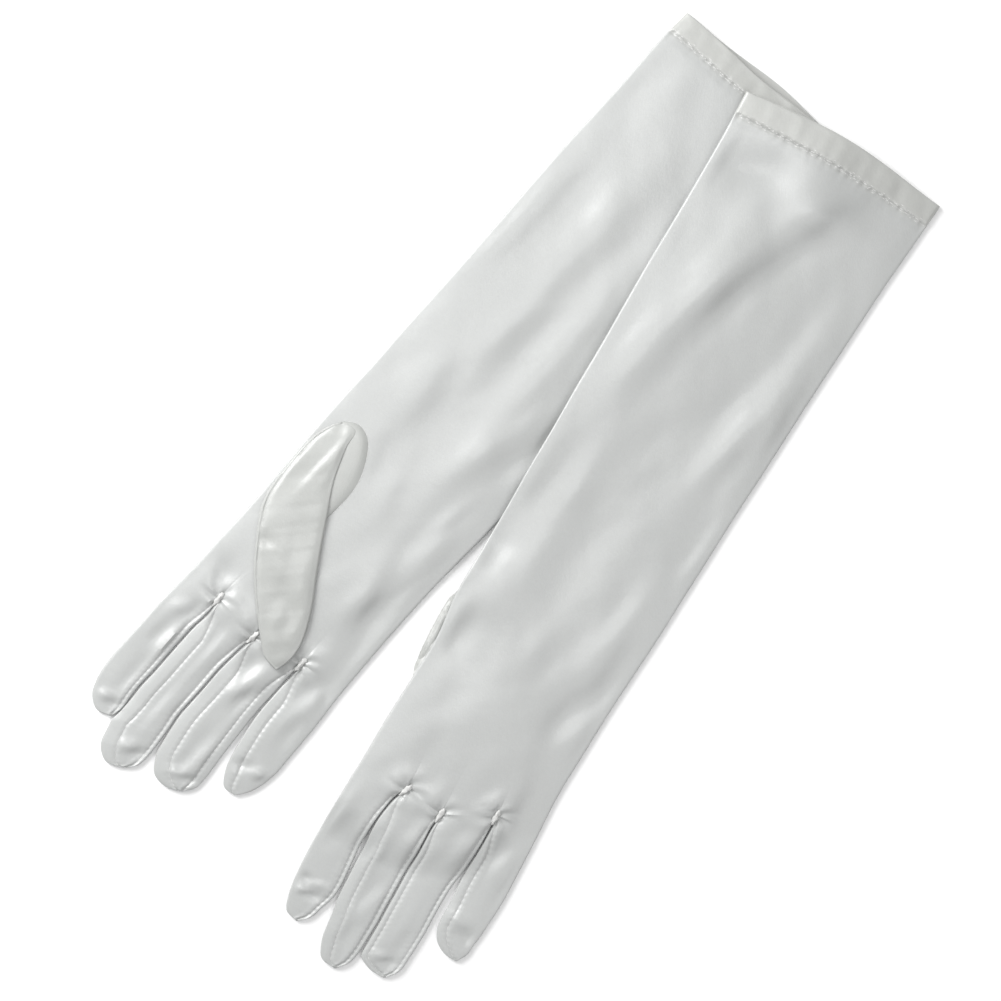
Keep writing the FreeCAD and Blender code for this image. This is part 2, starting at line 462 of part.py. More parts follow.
    # seam of the oval
    cx = sum(p[0] for p in oval) / len(oval); cy = sum(p[1] for p in oval) / len(oval)
    def grow(poly, k):
        return [(cx + (p[0] - cx) * (1 + k / max(math.hypot(p[0] - cx, p[1] - cy), 1)), cy + (p[1] - cy) * (1 + k / max(math.hypot(p[0] - cx, p[1] - cy), 1))) for p in poly]
    ring = prism(grow(oval, 0.5), -5, 30).cut(prism(grow(oval, -0.3), -5, 30))
    save(name + "_thumb_seam_thread", ribbon.common(ring))

    s_end = max(dot(sub(p, root), td) for p in ta)
    ss = [s_h + GAP, 12, 26, 40, 52, s_end - 9, s_end - 5, s_end - 2.5, s_end - 1.0]
    so, si = [], []
    for k, s in enumerate(ss):
        na, nb = edge_at(ta[6:], root, td, s), edge_at(tb[4:], root, td, s)
        pa, pb = add(add(root, td, s), tn, na), add(add(root, td, s), tn, nb)
        T = T0 * (1, 1, 1, 1, 1, 1, 0.95, 0.85, 0.7)[k]
        so.append(thumb_section(pa, pb, T, 0.1))
        if k < len(ss) - 2:
            si.append(thumb_section(pa, pb, T, 0.1 + CLOTH, CLOTH, -CLOTH))
    back_a, back_b = add(add(root, td, -1.0), tn, edge_at(ta[6:], root, td, 0)), add(add(root, td, -1.0), tn, edge_at(tb[4:], root, td, 0))
    si = [thumb_section(back_a, back_b, T0, 0.1 + CLOTH, CLOTH, -CLOTH)] + si
    stall = loft(so).cut(loft(si))
    if side == "L":
        ang = math.radians(90 - SWING - 6)
        far = 110.0
        s1 = add(add(PIVOT, td, far * math.cos(ang)), tn, far * math.sin(ang))
        s2 = add(add(PIVOT, td, far * math.cos(ang)), tn, -far * math.sin(ang))
        stall = stall.common(prism([PIVOT, s1, add(s1, td, 60), add(s2, td, 60), s2], -1, 20))
        stall = stall.cut(Part.makeCylinder(13.5 + GAP, 20, V(PIVOT[0], PIVOT[1], -1)))
    save(name + "_thumb", stall)

    # fingers
    for f in FINGERS:
        up = strip(side, f, "upper"); lo = strip(side, f, "lower")
        p, b = (up, lo) if up_palm else (lo, up)
        save("%s_%s_palm" % (name, f), p)
        save("%s_%s_back" % (name, f), b)
        bars = []
        k = FINGERS.index(f)
        for w, lab in (("a", "fork_a"), ("b", "fork_b")):
            fk = strip(side, f, lab)
            if fk is None:
                continue
            other = FINGERS[k - 1] if w == "a" else FINGERS[k + 1]
            save("%s_%s_fork_%s_side" % (name, f, other), fk)
            bars += [seam_bar(side, f, w, True), seam_bar(side, f, w, False)]
        save("%s_%s_seam_thread" % (name, f), Part.makeCompound(bars))

    # hem thread round the cuff, and the long seam at the little-finger side
    a, b = OUTLINE[side + "_in"], OUTLINE[side + "_out"]
    L = math.hypot(*sub(a[1], a[0]))
    def ringpoly(off, grow_):
        pa, pb = mix(a[0], a[1], off / L), mix(b[0], b[1], off / L)
        W = math.hypot(*sub(pb, pa))
        tops, bots = [], []
        for u in across(W, E_OUT, side):
            p = mix(pa, pb, u); e = min(u, 1 - u) * W
            lo, hi = levels(side, p, e, SLEEVE_T)
            x = p
            if e < 0.1:
                x = add(p, norm(sub(pb, pa)), -grow_ if u < 0.5 else grow_)
                tops.append((x[0], x[1], hi))
            else:
                g = min(grow_, 0.12) if (grow_ > 0) else grow_
                tops.append((x[0], x[1], hi + grow_)); bots.append((x[0], x[1], max(lo - g, 0.03) if grow_ > 0 else lo - grow_))
        return tops + bots[::-1]
    o = loft([ringpoly(HEM_DEPTH - 1.6, 0.3), ringpoly(HEM_DEPTH - 0.8, 0.3)])
    i = loft([ringpoly(HEM_DEPTH - 2.6, -0.25), ringpoly(HEM_DEPTH + 0.2, -0.25)])
    save(name + "_hem_thread", o.cut(i))
    secs = []
    for pa, pb, T, ply in stations(side)[2:-1]:
        n = norm(sub(pa, pb))
        q0, q1 = add(pb, n, 0.3), add(pb, n, -0.25)
        e = 0.0
        lo, hi = levels(side, pb, 0.0, T)
        z = hi
        secs.append([(q0[0], q0[1], z - 0.2), (q1[0], q1[1], z - 0.2), (q1[0], q1[1], z + 0.2), (q0[0], q0[1], z + 0.2)])
    save(name + "_side_seam_thread", loft(secs))

    # where the joints go
    for f in FINGERS:
        base, d, s0 = finger_axis(side, f)
        n = (-d[1], d[0])
        p = add(base, d, s0)
        na, nb = (edge_at(OUTLINE["%s_%s_%s" % (side, f, w)], base, d, s0) for w in "ab")
        rise = max(tuck(add(p, n, na + (nb - na) * t / 10.0)) for t in range(11)) if side == "L" else 0.0
        print("JOINT %s_%s pos %.2f %.2f %.2f axis %.4f %.4f 0" % (name, f, p[0], p[1], FINGER_T + rise, d[1], -d[0]))
    z = top_at("R", root) + LIE + T0 if side == "R" else 0
    print("JOINT %s_thumb pos %.2f %.2f %.2f axis %.4f %.4f dir %.4f %.4f" % (name, root[0], root[1], z, td[1], -td[0], td[0], td[1]))


build("R", "right")
build("L", "left")
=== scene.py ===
import bpy, math, json
import numpy as np
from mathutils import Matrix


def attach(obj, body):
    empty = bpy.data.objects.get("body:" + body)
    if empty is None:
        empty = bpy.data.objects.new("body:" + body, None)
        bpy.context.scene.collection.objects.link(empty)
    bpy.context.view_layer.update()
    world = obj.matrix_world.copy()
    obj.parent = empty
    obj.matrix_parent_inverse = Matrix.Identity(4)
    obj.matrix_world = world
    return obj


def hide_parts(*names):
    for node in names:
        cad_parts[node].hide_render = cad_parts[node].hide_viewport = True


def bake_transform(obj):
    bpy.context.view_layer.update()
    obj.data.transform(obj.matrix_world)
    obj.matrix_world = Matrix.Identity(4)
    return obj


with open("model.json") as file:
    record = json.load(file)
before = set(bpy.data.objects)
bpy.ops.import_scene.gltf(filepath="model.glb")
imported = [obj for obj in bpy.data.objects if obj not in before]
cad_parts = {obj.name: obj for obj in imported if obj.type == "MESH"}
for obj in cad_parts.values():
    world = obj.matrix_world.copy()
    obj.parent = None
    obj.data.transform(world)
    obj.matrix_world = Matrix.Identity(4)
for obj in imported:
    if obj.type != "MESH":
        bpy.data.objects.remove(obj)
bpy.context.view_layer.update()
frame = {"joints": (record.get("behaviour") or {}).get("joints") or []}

MM = 0.001
SHIFT = (-0.12, -0.77)

# the outlines that the design uses, in mm, from the cuffs to the finger ends
OUTLINE = {
    "R_in": [(-63.2, 242.4), (-67.1, 219.9), (-69.4, 197.2), (-72.4, 174.5), (-75.4, 151.8), (-77.9, 129.1), (-80.2, 106.3), (-82.6, 83.6), (-85.2, 60.9), (-88, 38.2), (-90.4, 15.4), (-93.4, -7.2), (-96, -30), (-98, -52.7), (-100, -75.5), (-103, -98.2), (-105.8, -120.9)],
    "R_out": [(46.4, 231.6), (42.5, 209.1), (38.7, 186.7), (34.8, 164.3), (31, 141.9), (27.1, 119.5), (23.3, 97.1), (19.4, 74.7), (15.6, 52.3), (11.7, 29.9), (8, 7.4), (4.4, -15), (0.7, -37.4), (-3.1, -59.9), (-6, -82.4), (-8.4, -105), (-10.5, -127.7)],
    "L_in": [(-17.2, 226.4), (-14.3, 202.9), (-12.2, 179.4), (-10.3, 155.8), (-8.7, 132.2), (-6.6, 108.7), (-4.4, 85.1), (-2.6, 61.6), (-0.4, 38), (1.4, 14.5), (3.7, -9.1), (5.5, -32.7), (7.4, -56.2), (12, -79.4), (13.4, -103), (14.5, -126.6), (16.4, -150.2)],
    "L_out": [(93.2, 235.6), (93.5, 212.7), (93.5, 189.7), (94.1, 166.8), (94.8, 143.9), (95.5, 120.9), (96.5, 98), (97.4, 75.1), (98.1, 52.1), (99.3, 29.2), (100.3, 6.3), (101.5, -16.6), (102.1, -39.6), (102.8, -62.5), (104.1, -85.4), (105.5, -108.3), (108.6, -131.1)],
    "R_index_a": [(-105.8, -120.9), (-107.1, -128.8), (-108.4, -136.7), (-109.5, -144.6), (-110.4, -152.5), (-111.3, -160.5), (-112.4, -168.4), (-113.3, -176.3), (-113.7, -184.3), (-113, -192.3), (-110.4, -199.7), (-104.2, -204.3), (-96.5, -202.6)],
    "R_index_b": [(-86.5, -124.8), (-86.8, -131.4), (-87.9, -137.9), (-89.3, -144.3), (-90.1, -150.8), (-90.9, -157.3), (-91.6, -163.8), (-92.3, -170.4), (-93.2, -176.9), (-94.1, -183.4), (-94.4, -189.9), (-94.5, -196.5), (-96.5, -202.6)],
    "R_middle_a": [(-86.5, -124.8), (-86.3, -134.1), (-87.9, -143.3), (-89.1, -152.5), (-90.1, -161.7), (-90.9, -171), (-92.2, -180.2), (-93.5, -189.4), (-94.6, -198.6), (-94.9, -207.9), (-93.1, -217), (-86.4, -222.5), (-77.5, -220.3)],
    "R_middle_b": [(-61.7, -130.3), (-63.9, -137.8), (-65.4, -145.4), (-66.8, -153), (-67.6, -160.8), (-68.4, -168.5), (-69.4, -176.2), (-70.2, -184), (-70, -191.7), (-70.1, -199.5), (-70.5, -207.3), (-72.1, -214.8), (-77.5, -220.3)],
    "R_ring_a": [(-61.7, -130.3), (-61.2, -138.7), (-62.5, -147.1), (-64, -155.4), (-65.4, -163.7), (-66.4, -172.1), (-67, -180.5), (-67, -189), (-66.8, -197.4), (-66.6, -205.9), (-63.5, -213.6), (-55.6, -215.9), (-47.6, -213.5)],
    "R_ring_b": [(-34.9, -127.8), (-36.1, -135), (-37.2, -142.3), (-38.1, -149.6), (-39, -156.9), (-39.7, -164.2), (-40.1, -171.6), (-40.5, -178.9), (-40.9, -186.3), (-41.1, -193.6), (-41.3, -201), (-42.6, -208.2), (-47.6, -213.5)],
    "R_little_a": [(-34.9, -127.8), (-34.6, -134.4), (-35.4, -141.1), (-36.2, -147.7), (-37, -154.4), (-37.8, -161), (-38.2, -167.7), (-38.1, -174.4), (-37.7, -181), (-36.8, -187.7), (-34.9, -194.1), (-31.2, -199.6), (-24.8, -199.9)],
    "R_little_b": [(-10.5, -127.7), (-10.9, -133.9), (-11.1, -140.2), (-11.4, -146.5), (-11.8, -152.8), (-12.4, -159.1), (-12.9, -165.3), (-13.5, -171.6), (-14, -177.9), (-15.3, -184), (-17.3, -190), (-20.4, -195.4), (-24.8, -199.9)],
    "L_index_a": [(16.4, -150.2), (16.7, -157.7), (17.2, -165.2), (17.7, -172.8), (18.2, -180.3), (18.8, -187.9), (19.5, -195.4), (20.4, -202.9), (21.5, -210.4), (22.9, -217.8), (25, -225), (28.6, -231.6), (35.5, -233.1)],
    "L_index_b": [(42.7, -148.3), (39.8, -155), (39, -162.2), (38.8, -169.6), (39.1, -176.9), (39.6, -184.2), (41, -191.4), (42.3, -198.6), (43.5, -205.9), (43.7, -213.2), (42.1, -220.4), (40.3, -227.5), (35.5, -233.1)],
    "L_middle_a": [(42.7, -148.3), (42.2, -156.8), (41.6, -165.4), (42.5, -174), (43.8, -182.6), (45, -191.2), (46.3, -199.8), (46.9, -208.4), (47.6, -217.1), (48.8, -225.6), (51.2, -234), (56.1, -240.9), (64.4, -241.4)],
    "L_middle_b": [(63.2, -148.8), (63, -156.6), (63.9, -164.4), (64.8, -172.3), (65.2, -180.1), (66, -188), (66.9, -195.8), (67.7, -203.6), (68.6, -211.4), (69.1, -219.3), (69.5, -227.1), (68.6, -234.9), (64.4, -241.4)],
    "L_ring_a": [(63.2, -148.8), (64.7, -156.7), (65.4, -164.7), (66.1, -172.8), (66.5, -180.8), (67.3, -188.8), (68.2, -196.8), (69.1, -204.8), (70, -212.9), (70.5, -220.9), (71.7, -228.7), (78.8, -231.8), (86.9, -231.2)],
    "L_ring_b": [(86, -134), (87.1, -142.2), (88, -150.3), (88.5, -158.6), (88.7, -166.8), (88.3, -175), (88.7, -183.2), (89.5, -191.4), (90.5, -199.6), (91.1, -207.8), (91.4, -216.1), (91.2, -224.3), (86.9, -231.2)],
    "L_little_a": [(86, -134), (88.7, -140.4), (89.6, -147.3), (90.2, -154.3), (90.8, -161.2), (91.3, -168.2), (91.8, -175.1), (92.2, -182.1), (92.7, -189), (94, -195.8), (97.8, -201.5), (104, -204.5), (110.9, -204.5)],
    "L_little_b": [(108.6, -131.1), (109.5, -137.2), (110.3, -143.4), (111.1, -149.5), (111.9, -155.7), (112.7, -161.8), (113.3, -168), (113.6, -174.2), (113.8, -180.4), (113.9, -186.7), (113.7, -192.9), (113.6, -199.1), (110.9, -204.5)],
    "R_thumb_a": [(-86, -18.5), (-91.2, -25.8), (-94.5, -34.1), (-96, -42.9), (-96.7, -51.9), (-97.1, -60.8), (-96.7, -69.8), (-94.5, -78.4), (-90.4, -86.4), (-86.1, -94.2), (-81.5, -101.9), (-76.2, -109.1), (-70.5, -116.1), (-64.4, -122.7), (-58.3, -129.3), (-51.7, -135.3), (-43.3, -137.5)],
    "R_thumb_b": [(-86, -18.5), (-78.2, -19.1), (-77.3, -27.5), (-75.5, -35.7), (-73.3, -43.8), (-70.2, -51.7), (-66.6, -59.3), (-63.2, -67.1), (-59.7, -74.8), (-56.1, -82.4), (-52.4, -90), (-48.5, -97.5), (-45, -105.2), (-42.1, -113.1), (-40.2, -121.3), (-40.5, -129.8), (-43.3, -137.5)],
    "R_oval": [(-86, -18.5), (-79.1, -15.6), (-72.1, -18.2), (-67.6, -24.3), (-64.7, -31.4), (-62.9, -38.9), (-62.7, -46.6), (-63.7, -54.1), (-65.2, -61.7)],
    "L_thumb_a": [(11.5, -44.3), (7.9, -52.4), (6.2, -61.2), (6.6, -70.2), (7.7, -79.1), (9.1, -87.9), (11.3, -96.6), (15.3, -104.6), (20.8, -111.6), (26.6, -118.4), (32.8, -125), (39.4, -131), (46.4, -136.7), (53.7, -141.9), (61, -147.1), (68.7, -151.6), (77.3, -152.2)],
    "L_thumb_b": [(11.5, -44.3), (19.2, -43.2), (21.8, -51.2), (25.2, -59), (29.1, -66.5), (33.6, -73.6), (38.7, -80.3), (43.6, -87.2), (48.6, -94.1), (53.7, -100.8), (58.8, -107.5), (64.2, -114), (69.1, -120.8), (73.6, -128), (77.1, -135.7), (78.6, -144), (77.3, -152.2)],
    "L_oval": [(11.5, -44.3), (17.6, -40), (25, -41.1), (30.7, -46.2), (34.9, -52.5), (38.2, -59.5), (39.9, -67), (40.5, -74.6), (40.5, -82.3)],
}
for _k in OUTLINE:
    OUTLINE[_k] = np.array(OUTLINE[_k], float) + SHIFT
CROTCH = {"R": np.array([(-86.5, -124.8), (-61.7, -130.3), (-34.9, -127.8)]) + SHIFT,
          "L": np.array([(42.7, -148.3), (63.2, -148.8), (86.0, -134.0)]) + SHIFT}
FINGERS = ["index", "middle", "ring", "little"]
FORK = {"R": {"index": (0, 2.6), "middle": (8.0, 2.4), "ring": (8.0, 5.0), "little": (6.5, 0)},
        "L": {"index": (0, 2.2), "middle": (6.5, 2.4), "ring": (3.6, 2.6), "little": (5.0, 0)}}
CLOSE = {"R": (0.95, 0.9, 0.6), "L": (0.8, 0.95, 0.62)}   # how far along neighbouring fingers lie together
NAME = {"R": "right", "L": "left"}
A35 = math.radians(35)


def smooth(t):
    t = np.clip(t, 0, 1)
    return t * t * (3 - 2 * t)


def spline(P, n=400):
    """a smooth curve through the points, evenly sampled by length"""
    P = np.asarray(P, float)
    t = np.r_[0, np.cumsum(np.linalg.norm(np.diff(P, axis=0), axis=1))]
    m = np.zeros_like(P)
    d = np.diff(P, axis=0) / np.diff(t)[:, None]
    m[1:-1] = (d[:-1] * np.diff(t)[1:, None] + d[1:] * np.diff(t)[:-1, None]) / (t[2:] - t[:-2])[:, None]
    m[0], m[-1] = d[0], d[-1]
    q = np.linspace(0, t[-1], n * 4)
    i = np.clip(np.searchsorted(t, q, side="right") - 1, 0, len(t) - 2)
    h = (t[i + 1] - t[i])[:, None]
    s = (q - t[i])[:, None] / h
    C = (2 * s**3 - 3 * s**2 + 1) * P[i] + (s**3 - 2 * s**2 + s) * h * m[i] + (-2 * s**3 + 3 * s**2) * P[i + 1] + (s**3 - s**2) * h * m[i + 1]
    L = np.r_[0, np.cumsum(np.linalg.norm(np.diff(C, axis=0), axis=1))]
    q = np.linspace(0, L[-1], n)
    return np.c_[np.interp(q, L, C[:, 0]), np.interp(q, L, C[:, 1])]


def at(C, f):
    x = np.clip(np.asarray(f, float), 0, 1) * (len(C) - 1)
    return np.stack([np.interp(x, np.arange(len(C)), C[:, 0]), np.interp(x, np.arange(len(C)), C[:, 1])], -1)


def length(C):
    return float(np.linalg.norm(np.diff(C, axis=0), axis=1).sum())


def line_dist(P, C):
    """distance of points to a polyline, and the sign of the nearest side"""
    P = np.asarray(P, float)
    sh = P.shape[:-1]
    P = P.reshape(-1, 2)
    a, d = C[:-1], np.diff(C, axis=0)
    dd = np.maximum((d * d).sum(1), 1e-9)
    best = np.full(len(P), 1e9)
    sg = np.zeros(len(P))
    for k in range(len(a)):
        r = P - a[k]
        t = np.clip((r @ d[k]) / dd[k], 0, 1)
        q = r - t[:, None] * d[k]
        v = np.hypot(q[:, 0], q[:, 1])
        m = v < best
        best[m] = v[m]
        sg[m] = (d[k, 0] * r[:, 1] - d[k, 1] * r[:, 0])[m]
    return best.reshape(sh), sg.reshape(sh)


def inside(P, poly):
    P = np.asarray(P, float)
    x, y = P[..., 0], P[..., 1]
    r = np.zeros(x.shape, bool)
    for i in range(len(poly)):
        (ax, ay), (bx, by) = poly[i], poly[i - 1]
        if ay == by:
            continue
        r ^= ((ay > y) != (by > y)) & (x < (bx - ax) * (y - ay) / (by - ay) + ax)
    return r


def wob(x, k=1.0, seed=0.0):
    """a smooth irregular wave, between about -1 and 1"""
    return (np.sin(x * k + seed) + 0.6 * np.sin(x * k * 1.73 + 1.3 + seed * 2.1) + 0.4 * np.sin(x * k * 2.91 + 4.1 + seed * 0.7)) / 2.0


# ---- heights ----
R0 = 0.75         # radius of the fold at an edge
TT = 3.6          # how far the flattened sleeve swells above its edges
LAM = 16.0        # over what distance it swells
LAMX = 9.0
DR = 6.6          # height at which the left sleeve crosses the right
EDGE_A = spline(OUTLINE["R_out"], 60)


def roll(e):
    q = np.clip(e / R0, 0, 1)
    return R0 * np.sqrt(np.maximum(1 - (1 - q) ** 2, 0))


def swell(v, W, lam=LAM):
    return 1 - np.cosh((v - 0.5) * W / lam) / np.cosh(0.5 * W / lam)


def inside_right(P):
    d, s = line_dist(P, EDGE_A)
    return np.where(s < 0, d, -d)


def drape(P):
    return DR * smooth((inside_right(P) + 25) / 45.0)


def drape_top(P):
    return DR * smooth((inside_right(P) + 42) / 62.0)


# room for the tucked thumb
def thumb_axis(side):
    a, b = OUTLINE[side + "_thumb_a"], OUTLINE[side + "_thumb_b"]
    root = (a[9] + b[6]) / 2
    d = a[-1] - root
    return root, d / np.linalg.norm(d)


PIVOT, PDIR = thumb_axis("L")
RISE = 4.1


def swing(P, deg):
    c, s = math.cos(math.radians(deg)), math.sin(math.radians(deg))
    d = P - PIVOT
    return PIVOT + np.c_[c * d[:, 0] - s * d[:, 1], s * d[:, 0] + c * d[:, 1]]


ZONES = [np.vstack([OUTLINE["L_thumb_a"], OUTLINE["L_thumb_b"][::-1][1:-1]])]
for _d in (7.5, 15, 22.5, 30, 37.5, 45, 52.5, 60, 63):
    ZONES.append(swing(np.vstack([OUTLINE["L_thumb_a"][9:], OUTLINE["L_thumb_b"][::-1][1:-7]]), -_d))


def tuck(P, wide=False):
    best = np.full(P.shape[:-1], 99.0)
    for z in ZONES:
        d, _ = line_dist(P, np.vstack([z, z[:1]]))
        d = np.where(inside(P, z), 0.0, d)
        best = np.minimum(best, d)
    return RISE * smooth((52.0 - best) / 50.0) if wide else RISE * smooth((22.0 - best) / 20.0)


FOLD = 0.42
TILT = np.array([-0.728 * math.cos(A35) - 0.685 * math.sin(A35), -0.728 * math.sin(A35) + 0.685 * math.cos(A35)])
# soft folds and hollows: centre x, y, direction x, y, half length, half width (mm), strength
FOLDS = {
    "R": [(-44.1, 139.4, 0.10, 0.99, 42, 15, 0.4), (-64.4, 134.2, 0.10, 0.99, 60, 9, -0.35), (-24.2, 66.6, -0.08, -1.00, 62, 9, 0.55),
          (-41.1, 66.8, -0.08, -1.00, 60, 8, -0.35), (-10.8, 15.0, -0.48, -0.88, 26, 9, -0.75), (-57.5, 13.4, 0.29, -0.96, 22, 11, -0.5),
          (-18.8, -46.2, -0.03, -1.00, 17, 8, 0.7), (-13.8, -27.8, -0.35, -0.94, 12, 4, -0.35), (-10.4, -64.3, -0.42, -0.91, 11, 2.6, 0.35), (-9.3, -74.3, -0.42, -0.91, 10, 2.6, -0.3),
          (-7.2, -84.2, -0.42, -0.91, 9, 2.4, 0.25), (-24.0, -87.6, 0.03, -1.00, 17, 8, -1.2), (-23.6, -127.4, 0.72, -0.69, 10, 8, -0.6), (-12.0, -107.3, -0.03, -1.00, 18, 5, 0.35),
          (-84.4, -119.1, 0.79, -0.61, 14, 6, 0.6), (-95.0, -117.6, -0.03, -1.00, 13, 5, -0.45), (-72.4, -122.6, 0.30, -0.95, 8, 4, 0.3), (-54.7, 188.8, 0.10, 1.00, 30, 12, 0.4), (-53.1, -31.4, -0.30, 0.95, 16, 7, 0.4)],
    "L": [(29.4, 196.8, 0.99, 0.15, 26, 13, 0.8), (13.3, 155.7, 0.25, -0.97, 20, 12, 0.55), (37.8, 159.1, -0.40, -0.92, 40, 9, -0.75), (27.2, 114.5, -0.17, -0.98, 44, 9, -0.5),
          (7.1, 100.5, 0.15, -0.99, 34, 11, 0.35), (74.5, 93.9, 0.08, -1.00, 26, 13, 0.7), (76.9, 137.4, 0.08, -1.00, 26, 9, 0.4), (79.1, 70.2, 0.03, -1.00, 22, 8, -0.9), (95.8, 25.0, 0.08, -1.00, 18, 9, 0.6),
          (21.1, 20.6, 0.08, -1.00, 30, 10, 0.5), (14.3, -38.0, 0.39, -0.92, 15, 9, 0.45), (14.9, -68.7, 0.30, -0.95, 13, 10, -1.5), (88.2, -58.1, 0.08, -1.00, 26, 10, -0.8),
          (80.6, -21.5, 0.15, -0.99, 16, 7, 0.5), (56.5, -38.4, 0.15, -0.99, 40, 12, 0.25), (90.0, -77.7, 0.19, -0.98, 15, 9, 1.1), (59.7, -60.1, 0.19, -0.98, 16, 8, -0.45), (40.0, -91.8, 0.08, -1.00, 20, 10, 0.4),
          (36.6, -121.1, 0.19, -0.98, 14, 9, -0.35), (33.7, -145.9, 0.08, -1.00, 9, 6, 0.55), (52.4, -141.1, 0.08, -1.00, 8, 5, 0.5), (78.8, -127.5, 0.19, -0.98, 9, 6, 0.45), (91.0, -121.9, 0.19, -0.98, 13, 6, -0.4)],
}
FINGER_FOLDS = {
    "R": [(-97.6, -155.8, -0.03, -1.00, 9, 4, 0.5), (-96.8, -139.8, -0.60, -0.80, 6, 4, -0.35), (-98.0, -182.5, -0.03, -1.00, 12, 4, 0.35), (-101.7, -197.0, 1.00, -0.03, 5, 2.5, -0.4), (-74.8, -142.3, -0.03, -1.00, 12, 3, 0.4), (-73.4, -160.5, -0.03, -1.00, 14, 3, -0.25),
          (-78.4, -210.6, 0.98, 0.19, 5, 3, -0.5), (-80.2, -184.9, -0.03, -1.00, 14, 4, 0.3), (-51.7, -145.3, 0.08, -1.00, 9, 5, 0.6), (-50.8, -157.8, -0.17, -0.98, 7, 4, -0.6), (-51.5, -196.0, -0.03, -1.00, 14, 3.5, 0.45), (-51.4, -207.3, 0.98, 0.19, 5, 2.5, -0.45),
          (-22.2, -141.3, 0.08, -1.00, 9, 4, 0.45), (-22.4, -156.4, -0.03, -1.00, 12, 4, -0.3), (-25.8, -185.7, 0.98, 0.19, 6, 3, 0.35)],
    "L": [(46.2, -184.4, 0.08, -1.00, 7, 4, 0.5), (41.6, -174.4, -0.39, -0.92, 5, 3, -0.35), (58.5, -204.5, 0.08, -1.00, 9, 4, 0.4), (31.7, -219.1, 0.99, 0.15, 5, 2.2, -0.5), (30.6, -213.3, 0.99, 0.15, 5, 2.2, 0.35), (25.0, -177.1, 0.08, -1.00, 13, 4, -0.25),
          (56.7, -166.9, 0.08, -1.00, 12, 4, 0.35), (57.3, -223.3, 0.19, -0.98, 10, 4, -0.3), (79.0, -160.2, 0.08, -1.00, 14, 4, 0.35), (82.2, -211.8, 0.08, -1.00, 12, 4, -0.3), (81.8, -224.1, 0.98, 0.19, 5, 2.5, -0.35),
          (99.6, -153.0, 0.19, -0.98, 8, 4, 0.5), (108.9, -160.2, 0.08, -1.00, 12, 4, -0.25), (104.3, -190.4, 0.91, -0.42, 8, 4, -0.35)],
}


def folds(P, table):
    z = np.zeros(P.shape[:-1])
    for x, y, dx, dy, hl, hw, amp in table:
        c = np.array([x, y])
        d = np.array([dx, dy])
        d = d / np.linalg.norm(d)
        r = P - c
        a = r @ d
        b = r[..., 0] * -d[1] + r[..., 1] * d[0]
        b = b + 0.08 * hw * np.sin(a / max(hl * 0.35, 1))
        z -= FOLD * amp * (r @ TILT) * np.exp(-(a / hl) ** 2 - (b / hw) ** 2)
    return z


def pucker(P, side):
    """small gathers round the crotches"""
    z = np.zeros(P.shape[:-1])
    for k in range(3):
        d = P - CROTCH[side][k]
        r = np.hypot(d[..., 0], d[..., 1])
        an = np.arctan2(d[..., 1], d[..., 0])
        z += 0.75 * np.exp(-(r / 7.5) ** 2) * np.cos(6 * an + k * 1.3 + 0.3 * r) * smooth((r - 0.6) / 2.2) + 0.2 * np.exp(-((r - 5.0) / 3.0) ** 2) * np.cos(9 * an + k)
        z -= 0.25 * np.exp(-(r / 2.2) ** 2) - 0.5 * np.exp(-((r - 7.0) / 4.0) ** 2)
    return z


def crinkle(P, k=1.0):
    """the faint unevenness of limp cloth"""
    x, y = P[..., 0], P[..., 1]
    q = 0.22 * np.sin(x * 0.19 + 1.7 * np.sin(y * 0.037 + 0.5) + 0.3) * np.sin(y * 0.088 + 1.3 * np.sin(x * 0.051)) + 0.05 * np.sin(x * 0.37 + 1.2 * np.sin(y * 0.11)) * np.sin(y * 0.21 + 1.0)
    return k * (q + 0.16 * np.sin(x * 0.11 + 1.1 + 0.6 * np.sin(y * 0.031)) * np.sin(y * 0.052 + 0.4 + 0.5 * np.sin(x * 0.043)) + 0.03 * np.sin(x * 0.23 + y * 0.12 + 0.5 * np.sin(y * 0.09)) + 0.02 * np.sin(x * 0.31 - y * 0.17 + 2.0))


# ---- columns across a finger ----
FR = np.array([0, .04, .11, .22, .36, .5, .64, .78, .89, .96, 1])


def side_cols(S, W):
    k = min(1.0, W / 14.0, S / 1.3)
    b = np.array([0, .08, .3, .75]) * k
    return np.r_[b, b[3] + (S - b[3]) * np.array([.35, .65, .87, 1.0])]


def finger_cols(W, Sa, Sb):
    Sa, Sb = min(Sa, 0.33 * W), min(Sb, 0.33 * W)
    a, b = side_cols(Sa, W), side_cols(Sb, W)
    return np.r_[a, Sa + (W - Sa - Sb) * FR[1:-1], W - b[::-1]], Sa, Sb


def fork_at(nominal, s):
    if nominal <= 0:
        return 4.2
    return 0.9 + (nominal - 0.9) * smooth(s / 24.0)


def normals(P):
    """normals of a ring of cloth: rows along, columns round"""
    dc = np.roll(P, -1, 1) - np.roll(P, 1, 1)
    dr = np.gradient(P, axis=0)
    n = np.cross(dr, dc)
    L = np.linalg.norm(n, axis=2, keepdims=True)
    n = n / np.maximum(L, 1e-12)
    # smooth over places where the ring is pinched to nothing
    bad = (L[..., 0] < 1e-9)
    if bad.any():
        n[bad] = (0, 0, 1)
    return n


